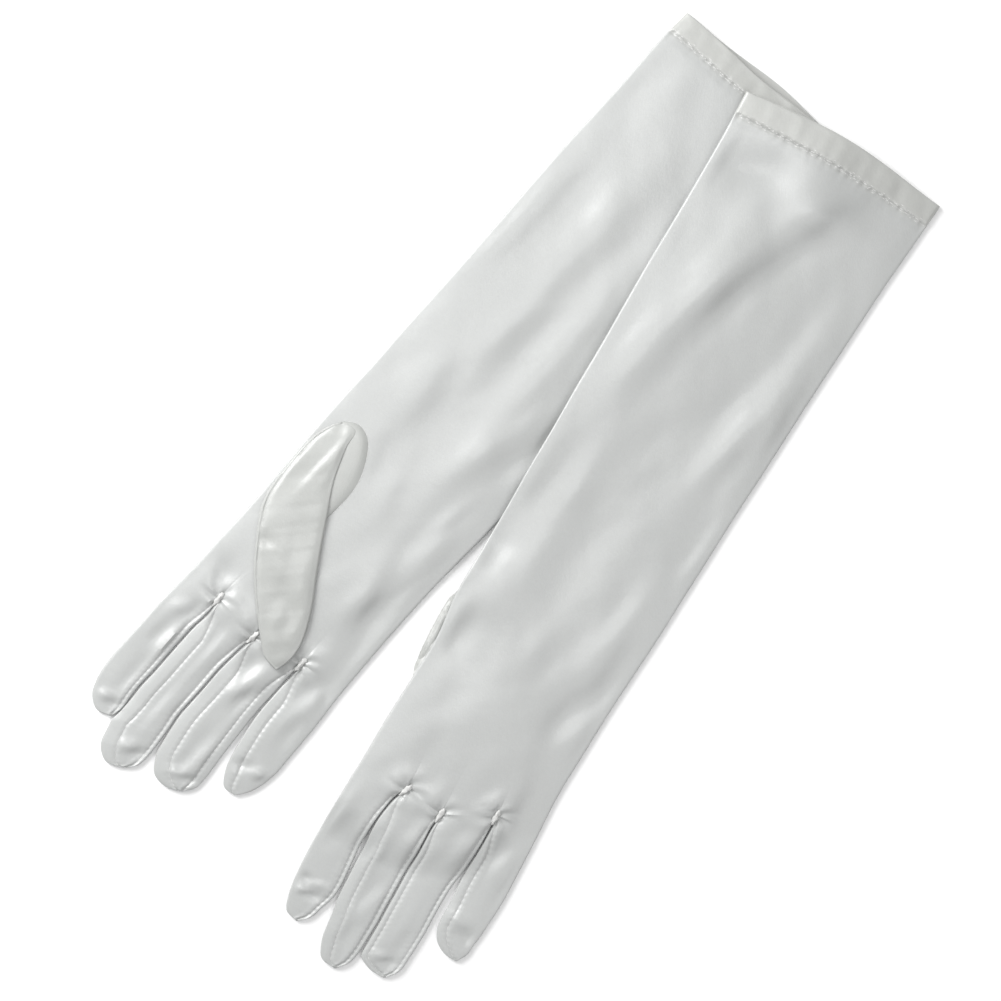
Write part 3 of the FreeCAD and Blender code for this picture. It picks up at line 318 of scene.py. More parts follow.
# ---- meshes ----
def closed_piece(name, P, N, T, UV, extra=None):
    """a closed ply from an outer grid: rows x columns of points, with the ply's thickness inward along N"""
    r, c = P.shape[:2]
    Q = P - N * T[..., None]
    verts = np.vstack([P.reshape(-1, 3), Q.reshape(-1, 3)]) * MM
    uv = np.vstack([UV.reshape(-1, 2), UV.reshape(-1, 2)])
    i = np.arange(r * c).reshape(r, c)
    o = r * c
    f = np.stack([i[:-1, :-1], i[:-1, 1:], i[1:, 1:], i[1:, :-1]], -1).reshape(-1, 4)
    flip = False
    mid = (r // 2, c // 2)
    p0, p1, p2 = P[mid[0], mid[1]], P[mid[0], min(mid[1] + 1, c - 1)], P[min(mid[0] + 1, r - 1), mid[1]]
    # first quad order is (row, col), (row, col+1), (row+1, col+1): normal = dc x dr
    if np.dot(np.cross(p1 - p0, p2 - p0), N[mid]) < 0:
        flip = True
    g = f[:, ::-1] + o
    border = np.r_[i[0, :], i[1:, -1], i[-1, -2::-1], i[-2:0:-1, 0]]
    nb = np.roll(border, -1)
    rim = np.stack([border, border + o, nb + o, nb], -1)
    faces = np.vstack([f, g, rim])
    if flip:
        faces = faces[:, ::-1]
    return verts, faces, uv


def make_mesh(name, parts, mat, replaces=()):
    vs, fs, us, k = [], [], [], 0
    for v, f, u in parts:
        vs.append(v); fs.append(f + k); us.append(u); k += len(v)
    v, f, u = np.vstack(vs), np.vstack(fs), np.vstack(us)
    me = bpy.data.meshes.new(name)
    me.from_pydata(v.tolist(), [], f.tolist())
    lay_uv = me.uv_layers.new(name="cloth")
    li = np.zeros(len(me.loops), dtype=np.int64)
    me.loops.foreach_get("vertex_index", li)
    lay_uv.data.foreach_set("uv", u[li].astype(np.float32).ravel())
    me.validate()
    me.polygons.foreach_set("use_smooth", [True] * len(me.polygons))
    me.set_sharp_from_angle(angle=math.radians(52))
    me.update()
    ob = bpy.data.objects.new(name, me)
    bpy.context.scene.collection.objects.link(ob)
    ob.data.materials.append(mat)
    if replaces:
        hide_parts(*replaces)
    return ob


def stitch_parts(C, Nn, pitch=3.0, size=(1.9, 0.42, 0.3), start=1.0, stop=0.0, jitter=0.15, lift=0.05, taper=True):
    """separate stitches along a line of points C (mm) with surface normals Nn"""
    d = np.r_[0, np.cumsum(np.linalg.norm(np.diff(C, axis=0), axis=1))]
    out = []
    s = start
    k = 0
    ring = 6
    while s + size[0] < d[-1] - stop:
        s0, s1 = s, s + size[0] * (1 + jitter * math.sin(k * 2.3))
        ts = np.linspace(s0, s1, 5)
        pts = np.stack([np.interp(ts, d, C[:, j]) for j in range(3)], -1)
        nn = np.stack([np.interp(ts, d, Nn[:, j]) for j in range(3)], -1)
        nn /= np.linalg.norm(nn, axis=1, keepdims=True)
        tt = pts[-1] - pts[0]
        tt = tt / max(np.linalg.norm(tt), 1e-9)
        side = np.cross(tt, nn[2]); side /= max(np.linalg.norm(side), 1e-9)
        prof = np.array([0.25, 0.8, 1.0, 0.8, 0.25])
        off = jitter * 0.5 * math.sin(k * 1.7)
        v = []
        for i in range(5):
            for a in range(ring):
                an = 2 * math.pi * a / ring
                v.append(pts[i] + side * (off + size[1] * 0.5 * prof[i] * math.cos(an)) + nn[i] * (lift + size[2] * prof[i] * (math.sin(an) * 0.5 + 0.15)))
        v = np.array(v) * MM
        f = []
        for i in range(4):
            for a in range(ring):
                b = (a + 1) % ring
                f.append((i * ring + a, i * ring + b, (i + 1) * ring + b, (i + 1) * ring + a))
        f.append((0, 3, 2, 1)); f.append((0, 5, 4, 3))
        q = 4 * ring
        f.append((q, q + 1, q + 2, q + 3)); f.append((q, q + 3, q + 4, q + 5))
        uv = np.repeat(np.array([[s * 0.01, 0.0]]), len(v), 0)
        out.append((v, np.array(f), uv))
        s += pitch * (1 + jitter * 0.4 * math.sin(k * 3.1 + 0.7))
        k += 1
    return out


# ---- materials ----
def node(nt, kind, x, y, **kw):
    n = nt.nodes.new(kind)
    n.location = (x, y)
    for k, v in kw.items():
        setattr(n, k, v)
    return n


def satin(name, tone, warm, rough=0.36, weave=0.25, hem=False):
    m = bpy.data.materials.new(name)
    m.use_nodes = True
    nt = m.node_tree
    bs = nt.nodes["Principled BSDF"]
    tc = node(nt, "ShaderNodeTexCoord", -1200, 0)
    big = node(nt, "ShaderNodeTexNoise", -900, 200); big.inputs["Scale"].default_value = 14.0; big.inputs["Detail"].default_value = 3.0
    nt.links.new(tc.outputs["Object"], big.inputs["Vector"])
    fine = node(nt, "ShaderNodeTexNoise", -900, -50); fine.inputs["Scale"].default_value = 900.0; fine.inputs["Detail"].default_value = 2.0
    nt.links.new(tc.outputs["Object"], fine.inputs["Vector"])
    ramp = node(nt, "ShaderNodeValToRGB", -650, 200)
    ramp.color_ramp.elements[0].position = 0.32; ramp.color_ramp.elements[1].position = 0.7
    ramp.color_ramp.elements[0].color = (tone * 0.94, tone * 0.96, tone * (0.925 if warm else 0.945), 1)
    ramp.color_ramp.elements[1].color = (tone * 1.0, tone * 1.02, tone * (0.985 if warm else 1.006), 1)
    nt.links.new(big.outputs["Fac"], ramp.inputs["Fac"])
    mixn = node(nt, "ShaderNodeMix", -380, 200, data_type="RGBA", blend_type="MULTIPLY")
    mixn.inputs[0].default_value = 0.30
    gr = node(nt, "ShaderNodeValToRGB", -650, -50)
    gr.color_ramp.elements[0].color = (0.72, 0.72, 0.72, 1); gr.color_ramp.elements[1].color = (1.0, 1.0, 1.0, 1)
    nt.links.new(fine.outputs["Fac"], gr.inputs["Fac"])
    nt.links.new(ramp.outputs["Color"], mixn.inputs[6]); nt.links.new(gr.outputs["Color"], mixn.inputs[7])
    if hem:
        # two plies of cloth at the cuff let less light through
        sx = node(nt, "ShaderNodeSeparateXYZ", -900, 420); nt.links.new(tc.outputs["UV"], sx.inputs[0])
        hm = node(nt, "ShaderNodeMapRange", -650, 420); hm.inputs["From Min"].default_value = 0.105; hm.inputs["From Max"].default_value = 0.15
        hm.inputs["To Min"].default_value = 1.0; hm.inputs["To Max"].default_value = 0.0
        nt.links.new(sx.outputs["Y"], hm.inputs["Value"])
        mh = node(nt, "ShaderNodeMix", -180, 300, data_type="RGBA", blend_type="MULTIPLY")
        mh.inputs[7].default_value = (0.95, 0.943, 0.918, 1)
        nt.links.new(hm.outputs["Result"], mh.inputs[0]); nt.links.new(mixn.outputs[2], mh.inputs[6])
        nt.links.new(mh.outputs[2], bs.inputs["Base Color"])
    else:
        nt.links.new(mixn.outputs[2], bs.inputs["Base Color"])
    # satin weave: long floats along the glove with fine weft across
    mp = node(nt, "ShaderNodeMapping", -900, -320); mp.inputs["Scale"].default_value = (260.0, 70.0, 1.0)
    nt.links.new(tc.outputs["UV"], mp.inputs["Vector"])
    wv = node(nt, "ShaderNodeTexNoise", -650, -320); wv.inputs["Scale"].default_value = 1.0; wv.inputs["Detail"].default_value = 2.0
    nt.links.new(mp.outputs["Vector"], wv.inputs["Vector"])
    mr = node(nt, "ShaderNodeMapRange", -400, -60)
    mr.inputs["To Min"].default_value = rough - 0.05; mr.inputs["To Max"].default_value = rough + 0.07
    nt.links.new(big.outputs["Fac"], mr.inputs["Value"])
    nt.links.new(mr.outputs["Result"], bs.inputs["Roughness"])
    b1 = node(nt, "ShaderNodeBump", -380, -320); b1.inputs["Strength"].default_value = weave; b1.inputs["Distance"].default_value = 0.0003
    nt.links.new(wv.outputs["Fac"], b1.inputs["Height"])
    rum = node(nt, "ShaderNodeTexNoise", -650, -560); rum.inputs["Scale"].default_value = 70.0; rum.inputs["Detail"].default_value = 4.0
    nt.links.new(tc.outputs["Object"], rum.inputs["Vector"])
    b2 = node(nt, "ShaderNodeBump", -160, -320); b2.inputs["Strength"].default_value = 0.34; b2.inputs["Distance"].default_value = 0.0008
    nt.links.new(rum.outputs["Fac"], b2.inputs["Height"]); nt.links.new(b1.outputs["Normal"], b2.inputs["Normal"])
    nt.links.new(b2.outputs["Normal"], bs.inputs["Normal"])
    bs.inputs["Specular IOR Level"].default_value = 0.8
    bs.inputs["Sheen Weight"].default_value = 0.12
    bs.inputs["Sheen Roughness"].default_value = 0.35
    bs.inputs["Anisotropic"].default_value = 0.3
    return m


def thread(name, lo, hi):
    m = bpy.data.materials.new(name)
    m.use_nodes = True
    nt = m.node_tree
    bs = nt.nodes["Principled BSDF"]
    tc = node(nt, "ShaderNodeTexCoord", -900, 0)
    n = node(nt, "ShaderNodeTexNoise", -700, 0); n.inputs["Scale"].default_value = 1500.0
    nt.links.new(tc.outputs["Object"], n.inputs["Vector"])
    r = node(nt, "ShaderNodeValToRGB", -450, 0)
    r.color_ramp.elements[0].color = (lo, lo, lo * 0.98, 1); r.color_ramp.elements[1].color = (hi, hi, hi * 0.985, 1)
    nt.links.new(n.outputs["Fac"], r.inputs["Fac"]); nt.links.new(r.outputs["Color"], bs.inputs["Base Color"])
    b = node(nt, "ShaderNodeBump", -300, -250); b.inputs["Strength"].default_value = 0.5; b.inputs["Distance"].default_value = 0.0001
    nt.links.new(n.outputs["Fac"], b.inputs["Height"]); nt.links.new(b.outputs["Normal"], bs.inputs["Normal"])
    bs.inputs["Roughness"].default_value = 0.45
    bs.inputs["Sheen Weight"].default_value = 0.2
    return m


M_SATIN = satin("satin_face", 0.485, False, hem=True)
M_THUMB = satin("satin_thumb", 0.455, True)
M_FORK = satin("satin_fork", 0.485, False)
M_THREAD = thread("sewing_thread", 0.50, 0.70)
M_HEMTHREAD = thread("hem_thread", 0.52, 0.74)


# ---- one glove ----
def build(side):
    nm = NAME[side]
    up, dn = ("palm", "back") if side == "R" else ("back", "palm")
    Cin, Cout = spline(OUTLINE[side + "_in"]), spline(OUTLINE[side + "_out"])
    Ltot = 0.5 * (length(Cin) + length(Cout))
    # fingers' plan curves
    fa = {f: spline(OUTLINE["%s_%s_a" % (side, f)], 300) for f in FINGERS}
    fb = {f: spline(OUTLINE["%s_%s_b" % (side, f)], 300) for f in FINGERS}
    for k in range(3):
        # neighbouring fingers lie against each other until they part
        A_, B_ = fa[FINGERS[k + 1]], fb[FINGERS[k]]
        dist_ = np.linalg.norm(A_[:, None] - B_[None], axis=2)
        j_ = dist_.argmin(1)
        d_ = dist_[np.arange(len(A_)), j_]
        w_ = smooth((6.0 - d_) / 3.0) * smooth(np.arange(len(A_)) / 8.0) * smooth((CLOSE[side][k] - np.arange(len(A_)) / 299.0) / 0.3)
        w_ = np.convolve(np.r_[np.full(8, w_[0]), w_, np.full(8, w_[-1])], np.ones(17) / 17, "valid")
        m_ = (B_[j_] - A_) * (np.maximum(1 - 0.75 / np.maximum(d_, 0.75), 0) * w_)[:, None]
        m_ = np.stack([np.convolve(np.r_[np.full(6, m_[0, q]), m_[:, q], np.full(6, m_[-1, q])], np.ones(13) / 13, "valid") for q in (0, 1)], -1)
        m_[0] = 0
        fa[FINGERS[k + 1]] = A_ + m_
    ends = [Cin[-1]] + list(CROTCH[side]) + [Cout[-1]]
    last, lastv, lastW = [], [], []
    for k, f in enumerate(FINGERS):
        W = float(np.linalg.norm(ends[k + 1] - ends[k]))
        cols, _, _ = finger_cols(W, fork_at(FORK[side][f][0], 0), fork_at(FORK[side][f][1], 0))
        p = ends[k] + np.outer(cols / W, ends[k + 1] - ends[k])
        last.append(p if k == 0 else p[1:]); lastv.append(cols / W if k == 0 else cols[1:] / W); lastW.append(np.full(len(cols) - (k > 0), W))
    last, lastv, lastW = np.vstack(last), np.concatenate(lastv), np.concatenate(lastW)
    NC = len(last)

    # rows down the sleeve, closer at the hem and near the crotches
    t = [0, .12, .3, .6, 1.0, 1.6, 2.6, 4, 5.5, 7, 8.3, 9.3, 10, 10.5, 11, 11.4, 11.8, 12.2, 12.6, 13.1, 13.8, 14.8, 16, 17.5]
    while t[-1] < Ltot - 40:
        t.append(t[-1] + 1.9)
    n_end = int((Ltot - t[-1]) / 1.0)
    t += list(np.linspace(t[-1], Ltot, n_end + 1)[1:])
    t = np.array(t)
    NR = len(t)
    fr = t / Ltot
    A, B = at(Cin, fr), at(Cout, fr)
    W = np.linalg.norm(B - A, axis=1)
    eo = np.array([0, .08, .3, .75, 1.4, 2.4, 3.3, 4.2, 5.4, 6.8, 8.4, 10.2, 12.0])
    far = np.zeros((NR, NC))
    for i in range(NR):
        far[i] = np.r_[eo / W[i], np.linspace(12 / W[i], 1 - 12 / W[i], NC - 24)[1:-1], 1 - eo[::-1] / W[i]]
    chord = B[-1] - A[-1]
    ulast = ((last - A[-1]) @ chord) / (chord @ chord)
    ulast = np.maximum.accumulate(ulast)
    back = Ltot - t
    g2 = smooth(1 - back / 55.0)[:, None]
    U = far * (1 - g2) + ulast[None] * g2
    XY = A[:, None] + (B - A)[:, None] * U[..., None]
    g = smooth(1 - back / 34.0)[:, None, None]
    XY = XY + (last - XY[-1])[None] * g
    E = np.minimum(U, 1 - U) * W[:, None]
    hh = swell(U, W[:, None])
    # at the crotches the swelling falls away
    hf = swell(lastv, lastW)
    interior = np.minimum(lastv, 1 - lastv)
    wgt = np.sin(np.pi * np.clip(lastv, 0, 1)) ** 0.7
    delta = (hh[-1] - hf) * wgt
    hline = hf + 0.5 * delta
    hh = hh + (hline - hh[-1])[None] * np.exp(-back[:, None] / LAMX)
    # the fold roll at a crotch fades back into the hand
    eline = np.minimum(lastv, 1 - lastv) * lastW
    Eroll = E.copy()
    infl = np.exp(-(back[:, None] / 2.0) ** 2)
    Eroll = E * (1 - infl) + np.minimum(E, eline[None]) * infl

    low = drape(XY) + tuck(XY) if side == "L" else np.zeros(XY.shape[:2])
    if side == "L":
        high = low + (drape_top(XY) - drape(XY) + tuck(XY, True) - tuck(XY)) * smooth(E / 28.0)
    else:
        high = low
    fade = smooth(E / 9.0)
    tt_ = t[:, None]
    top = high + R0 + roll(Eroll) + TT * hh + (folds(XY, FOLDS[side]) + crinkle(XY)) * fade
    bot = low + R0 - roll(Eroll)
    # hem: two plies up to the stitched line, gathered a little by its thread
    xc = U * W[:, None]
    pk = np.exp(-((tt_ - 12.0) / 1.5) ** 2)
    hemz = 0.45 * (1 - smooth((tt_ - 10.6) / 1.8)) - 0.5 * np.exp(-((tt_ - 12.3) / 0.75) ** 2) - 0.25 * np.exp(-((tt_ - 14.2) / 1.6) ** 2)
    hemz = hemz + 0.5 * wob(xc, 1.45, 1.0) * pk + 0.28 * wob(xc, 3.3, 2.0) * np.exp(-((tt_ - 11.4) / 1.0) ** 2) + 0.10 * wob(xc, 0.9, 3.0) * np.exp(-((tt_ - 13.5) / 4.0) ** 2)
    hemz = hemz + 0.3 * wob(xc, 0.28, 5.0) * (1 - smooth((tt_ - 8) / 6.0)) * smooth(tt_ / 3.0)
    hemz = hemz - 0.42 * (1 - np.sqrt(1 - (1 - np.clip(tt_ / 0.6, 0, 1)) ** 2))
    top = top + hemz * smooth(E / 1.2)
    bot = bot + (0.3 * np.exp(-((tt_ - 12.3) / 0.75) ** 2) + 0.10 * np.maximum(wob(xc, 2.05, 4.0), 0) * pk) * smooth(E / 1.2)
    # puckers round each crotch
    top = top + pucker(XY, side) * (1 - infl * (1 - smooth(eline[None] / 1.2))) * smooth(E / 2.0)
    # cuff edges: the layers don't lie exactly on each other
    ax = (A[0] + B[0]) / 2 - (at(Cin, 0.1) + at(Cout, 0.1)) / 2
    ax = ax / np.linalg.norm(ax)
    fall = (np.clip(1 - t / 34.0, 0, 1) ** 2)[:, None]
    su = np.clip(U, 0, 1)
    if side == "R":
        dt_, db_ = -1.9 * np.exp(-((su - 0.42) / 0.26) ** 2) * np.sin(np.pi * su), 2.4 * np.exp(-((su - 0.55) / 0.26) ** 2) * np.sin(np.pi * su)
    else:
        dt_ = 4.0 * np.sin(np.pi * su) ** 1.3
        db_ = dt_ + 0.7 * np.sin(np.pi * su) ** 2
    XYt, XYb = XY + ax * (dt_ * fall)[..., None], XY + ax * (db_ * fall)[..., None]
    Pt = np.concatenate([XYt, top[..., None]], -1)
    Pb = np.concatenate([XYb, np.maximum(bot, 0.0)[..., None]], -1)
    # the two plies meet exactly at both edges
    for j in (0, -1):
        zz = low[:, j] + R0
        Pt[:, j, 2] = zz; Pb[:, j, 2] = zz
        Pt[:, j, :2] = Pb[:, j, :2] = XY[:, j]
    ring = np.concatenate([Pt, Pb[:, ::-1][:, 1:-1]], 1)
    n = normals(ring)
    if n[NR // 2, NC // 2, 2] < 0:
        n = -n
    Nt = n[:, :NC]
    Nb = np.concatenate([n[:, :1], n[:, NC:][:, ::-1], n[:, NC - 1:NC]], 1)
    th = (0.5 + 0.6 * (1 - smooth((t - 11.6) / 0.8)))[:, None] * np.ones((1, NC))
    th = np.minimum(th, 0.5 + 0.6 * smooth((E - 0.8) / 2.0))
    uv = np.stack([xc * 0.01, np.repeat(tt_, NC, 1) * 0.01], -1)
    pieces = {}
    pieces[up] = closed_piece(up, Pt, Nt, th, uv)
    pieces[dn] = closed_piece(dn, Pb, Nb, th, uv)
    glove = nm + "_glove"

    # thumb hole in the palm
    oval = np.vstack([OUTLINE[side + "_thumb_a"][:9], OUTLINE[side + "_oval"][::-1][:-1]])
    oval = spline(np.vstack([oval, oval[:1]]), 90)[:-1]
    for wh in (up, dn):
        ob = make_mesh("%s_%s_satin" % (nm, wh), [pieces[wh]], M_SATIN, (nm + "_" + wh,))
        if wh == "palm":
            cx = oval.mean(0)
            shrink = cx + (oval - cx) * (1 - 0.25 / np.maximum(np.linalg.norm(oval - cx, axis=1), 1))[:, None]
            m = len(shrink)
            v = np.vstack([np.c_[shrink, np.full(m, -5.0)], np.c_[shrink, np.full(m, 30.0)]]) * MM
            fc = [tuple(range(m))[::-1], tuple(range(m, 2 * m))] + [(i, (i + 1) % m, (i + 1) % m + m, i + m) for i in range(m)]
            if side == "L":
                v[:m, 2] = -5 * MM
            me = bpy.data.meshes.new("cutter"); me.from_pydata(v.tolist(), [], fc); me.update()
            import bmesh
            bm = bmesh.new(); bm.from_mesh(me); bmesh.ops.recalc_face_normals(bm, faces=bm.faces); bm.to_mesh(me); bm.free()
            cut = bpy.data.objects.new("cutter", me); bpy.context.scene.collection.objects.link(cut)
            md = ob.modifiers.new("hole", "BOOLEAN"); md.operation = "DIFFERENCE"; md.solver = "EXACT"; md.object = cut
            dg = bpy.context.evaluated_depsgraph_get()
            new = bpy.data.meshes.new_from_object(ob.evaluated_get(dg))
            ob.modifiers.clear()
            old = ob.data; ob.data = new; bpy.data.meshes.remove(old)
            bpy.data.objects.remove(cut); bpy.data.meshes.remove(me)
            ob.data.polygons.foreach_set("use_smooth", [True] * len(ob.data.polygons))
            ob.data.set_sharp_from_angle(angle=math.radians(52))
            ob.data.name = ob.name
        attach(ob, glove)

    # ---- fingers ----
    joints = {j["name"]: j for j in frame["joints"]}
    col0 = 0
    for k, f in enumerate(FINGERS):
        a, b = fa[f], fb[f]
        La, Lb = length(a), length(b)
        Lf = 0.5 * (La + Lb)
        s = list(np.linspace(0, Lf - 9, 108)) + list(Lf - np.array([8.3, 7.5, 6.7, 5.9, 5.1, 4.3, 3.5, 2.8, 2.1, 1.5, 1.0, 0.6, 0.3]))
        s = np.array(s)
        PA, PB = at(a, s / Lf), at(b, s / Lf)
        PA[0], PB[0] = ends[k], ends[k + 1]
        Wf = np.linalg.norm(PB - PA, axis=1)
        nr, nc = len(s), 25
        cols = np.zeros((nr, nc)); SA = np.zeros(nr); SB = np.zeros(nr)
        for i in range(nr):
            cols[i], SA[i], SB[i] = finger_cols(Wf[i], fork_at(FORK[side][f][0], s[i]), fork_at(FORK[side][f][1], s[i]))
        V = cols / Wf[:, None]
        XYf = PA[:, None] + (PB - PA)[:, None] * V[..., None]
        Ef = np.minimum(V, 1 - V) * Wf[:, None]
        dj = delta[col0:col0 + nc]
        hfz = swell(V, Wf[:, None]) + 0.5 * dj[None] * np.exp(-s[:, None] / LAMX)
        lowf = tuck(XYf) if side == "L" else np.zeros((nr, nc))
        zt = lowf + R0 + roll(Ef) + TT * hfz
        if side == "L":
            zt = zt + (tuck(XYf, True) - lowf) * smooth(E[-1][col0:col0 + nc] / 28.0)[None] * np.exp(-(s[:, None] / 16.0) ** 2)
        zb = lowf + R0 - roll(Ef)
        fd = smooth(Ef / 5.0)
        if k == 0:
            side_a_E = V * Wf[:, None]
        fade_base = smooth(s / 10.0)[:, None]
        # the hand's own folds carry on over the first rows of the finger
        Eh = E[-1][col0:col0 + nc]
        handf = (folds(XYf, FOLDS[side]) + crinkle(XYf)) * (smooth(Eh / 9.0)[None] * (1 - fade_base) + fd * fade_base)
        zt = zt + handf + (3.2 if side == "R" else 2.6) * folds(XYf, FINGER_FOLDS[side]) * fd * fade_base
        # seams: the cloth is drawn in along each, with a small pucker at every stitch
        for S_, nominal, dist in ((SA, FORK[side][f][0], cols), (SB, FORK[side][f][1], Wf[:, None] - cols)):
            if nominal <= 0:
                continue
            q = dist - S_[:, None]
            gr = np.exp(-(q / 0.75) ** 2)
            on = smooth(s / 4.0)[:, None]
            zt = zt - (0.42 * gr - 0.28 * np.exp(-((np.abs(q) - 1.7) / 0.9) ** 2)) * on
            zt = zt + 0.09 * np.sin(2 * math.pi * s / 3.0 + k)[:, None] * np.exp(-(q / 1.6) ** 2) * on
            zb = zb + 0.22 * gr * on * smooth(Ef / 0.8)
        zt = zt + pucker(XYf, side) * smooth(Ef / 1.2) * np.maximum(smooth(Eh / 2.0)[None], fade_base)
        # gathers near the finger end
        zt = zt + 0.05 * wob(s[:, None] + 0.9 * cols + 3 * np.sin(cols * 0.5 + k), 0.55, k + 1.0) * fd * smooth((s[:, None] - 0.55 * Lf) / 15.0)
        Ptf = np.concatenate([XYf, zt[..., None]], -1)
        Pbf = np.concatenate([XYf, np.maximum(zb, 0)[..., None]], -1)
        for j in (0, -1):
            zz = lowf[:, j] + R0
            Ptf[:, j, 2] = zz; Pbf[:, j, 2] = zz
        # first row is the hand's last row
        Ptf[0] = Pt[-1, col0:col0 + nc]; Pbf[0] = Pb[-1, col0:col0 + nc]
        if k > 0:
            Ptf[0, 0, 2] = Pt[-1, col0, 2]; Pbf[0, 0, 2] = Pb[-1, col0, 2]
        rg = np.concatenate([Ptf, Pbf[:, ::-1][:, 1:-1]], 1)
        nn = normals(rg)
        if nn[nr // 2, nc // 2, 2] < 0:
            nn = -nn
        Ntf = nn[:, :nc]
        Nbf = np.concatenate([nn[:, :1], nn[:, nc:][:, ::-1], nn[:, nc - 1:nc]], 1)
        tf = 0.5 * np.minimum(1.0, np.minimum(Wf / 6.0, 1.0))[:, None] * np.ones((1, nc))
        tf = np.minimum(tf, 0.09 + 0.42 * smooth((Lf - s)[:, None] / 3.0))
        uvf = np.stack([cols * 0.01 + k * 0.3, (Ltot + s)[:, None] * 0.01 * np.ones((1, nc))], -1)
        ia = 7 if FORK[side][f][0] > 0 else 0
        ib = 17 if FORK[side][f][1] > 0 else 24
        jt = joints["%s_%s_fold" % (nm, f)]
        dz = np.array(jt["axis"], float)
        fdir = np.array([-dz[1], dz[0], 0.0])
        if np.dot(fdir[:2], (a[-1] - a[0])) < 0:
            fdir = -fdir

        def fin(ob):
            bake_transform(ob)
        sl = slice(ia, ib + 1)
        up_piece = closed_piece("u", Ptf[:, sl], Ntf[:, sl], tf[:, sl], uvf[:, sl])
        dn_piece = closed_piece("d", Pbf[:, sl], Nbf[:, sl], tf[:, sl], uvf[:, sl])
        fin(make_mesh("%s_%s_%s_satin" % (nm, f, up), [up_piece], M_SATIN, ("%s_%s_%s" % (nm, f, up),)))
        fin(make_mesh("%s_%s_%s_satin" % (nm, f, dn), [dn_piece], M_SATIN, ("%s_%s_%s" % (nm, f, dn),)))
        seams = []
        for w, idx, nominal in (("a", ia, FORK[side][f][0]), ("b", ib, FORK[side][f][1])):
            if nominal <= 0:
                continue
            if w == "a":
                FP = np.concatenate([Ptf[:, ia::-1], Pbf[:, 1:ia + 1]], 1); FN = np.concatenate([Ntf[:, ia::-1], Nbf[:, 1:ia + 1]], 1)
                UVk = np.concatenate([uvf[:, ia::-1], uvf[:, 1:ia + 1] * [-1, 1]], 1); TK = np.concatenate([tf[:, ia::-1], tf[:, 1:ia + 1]], 1)
                other = FINGERS[k - 1]
            else:
                FP = np.concatenate([Ptf[:, ib:], Pbf[:, ib:-1][:, ::-1]], 1); FN = np.concatenate([Ntf[:, ib:], Nbf[:, ib:-1][:, ::-1]], 1)
                UVk = np.concatenate([uvf[:, ib:], uvf[:, ib:-1][:, ::-1] * [-1, 1]], 1); TK = np.concatenate([tf[:, ib:], tf[:, ib:-1][:, ::-1]], 1)
                other = FINGERS[k + 1]
            fork_name = "%s_%s_fork_%s_side" % (nm, f, other)
            fin(make_mesh(fork_name + "_satin", [closed_piece("f", FP, FN, TK, UVk)], M_FORK, (fork_name,)))
            lim = s < Lf - 4
            seams += stitch_parts(Ptf[lim][:, idx], Ntf[lim][:, idx], start=2.5, pitch=2.9, size=(1.5, 0.3, 0.2), lift=0.0)
            seams += stitch_parts(Pbf[lim][:, idx] + [0, 0, 0.15], Nbf[lim][:, idx], start=2.5, pitch=2.9, size=(1.7, 0.36, 0.2), lift=-0.02)
        # bar tack where the two forks meet at the crotch
        if FORK[side][f][1] > 0:
            c = CROTCH[side][k]
            ax_ = (b[40] - b[0]) / np.linalg.norm(b[40] - b[0])
            rowz = float(Pt[-1, col0 + nc - 1, 2])
            seams += knot(c, ax_, rowz, k + (0 if side == "R" else 5))
        fin(make_mesh("%s_%s_stitching" % (nm, f), seams, M_THREAD, ("%s_%s_seam_thread" % (nm, f),)))
        col0 += nc - 1

    # ---- hem stitches and side seam stitches ----
    ih = int(np.argmin(abs(t - 11.8)))
    hs = []
    for P_, N_ in ((Pt, Nt), (Pb, Nb)):
        for row, pitch, off, big in ((ih - 3, 3.7, 0.4, 0.8), (ih - 1, 2.5, 1.5, 1.0), (ih, 2.9, 0.9, 1.15), (ih + 2, 3.3, 2.2, 0.9)):
            hs += stitch_parts(P_[row, 4:-4], N_[row, 4:-4], pitch=pitch, start=off, size=(1.15 * big, 0.46 * big, 0.3 * big), jitter=0.85, lift=0.0)
    ob = make_mesh(nm + "_hem_stitching", hs, M_HEMTHREAD, (nm + "_hem_thread",))
    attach(ob, glove)
    ss = stitch_parts(Pb[26:, -3] + [0, 0, 0.05], Nb[26:, -3], pitch=3.2, start=2.0, size=(1.8, 0.34, 0.2), lift=0.0)
    ob = make_mesh(nm + "_side_seam_stitching", ss, M_THREAD, (nm + "_side_seam_thread",))
    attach(ob, glove)
    thumb(side, nm, glove, Pt if side == "R" else Pb, oval, low)


def knot(c, ax_, z, seed):
    """the gathered bit of cloth and thread at a crotch"""
    n1, n2 = 18, 12
    pr = np.array([-ax_[1], ax_[0]])
    v = []
    for i in range(n1 + 1):
        th = math.pi * i / n1
        for j in range(n2):
            ph = 2 * math.pi * j / n2
            r = 1 + 0.26 * math.sin(4 * th + seed) * math.sin(3 * ph + seed * 1.7) + 0.22 * math.sin(8 * th + 2 * ph + seed)
            lx = -math.cos(th) * 4.3 + 0.9
            w = math.sin(th) ** 0.8 * r
            p = c + ax_ * lx + pr * (1.55 * w * math.cos(ph) * (0.75 + 0.25 * math.cos(th)))
            v.append((p[0], p[1], z + 1.6 + 1.05 * w * math.sin(ph) - 0.16 * lx))
    v = np.array(v) * MM
    f = []
    for i in range(n1):
        for j in range(n2):
            k = (j + 1) % n2
            f.append((i * n2 + j, i * n2 + k, (i + 1) * n2 + k, (i + 1) * n2 + j))
    return [(v, np.array(f), np.zeros((len(v), 2)))]


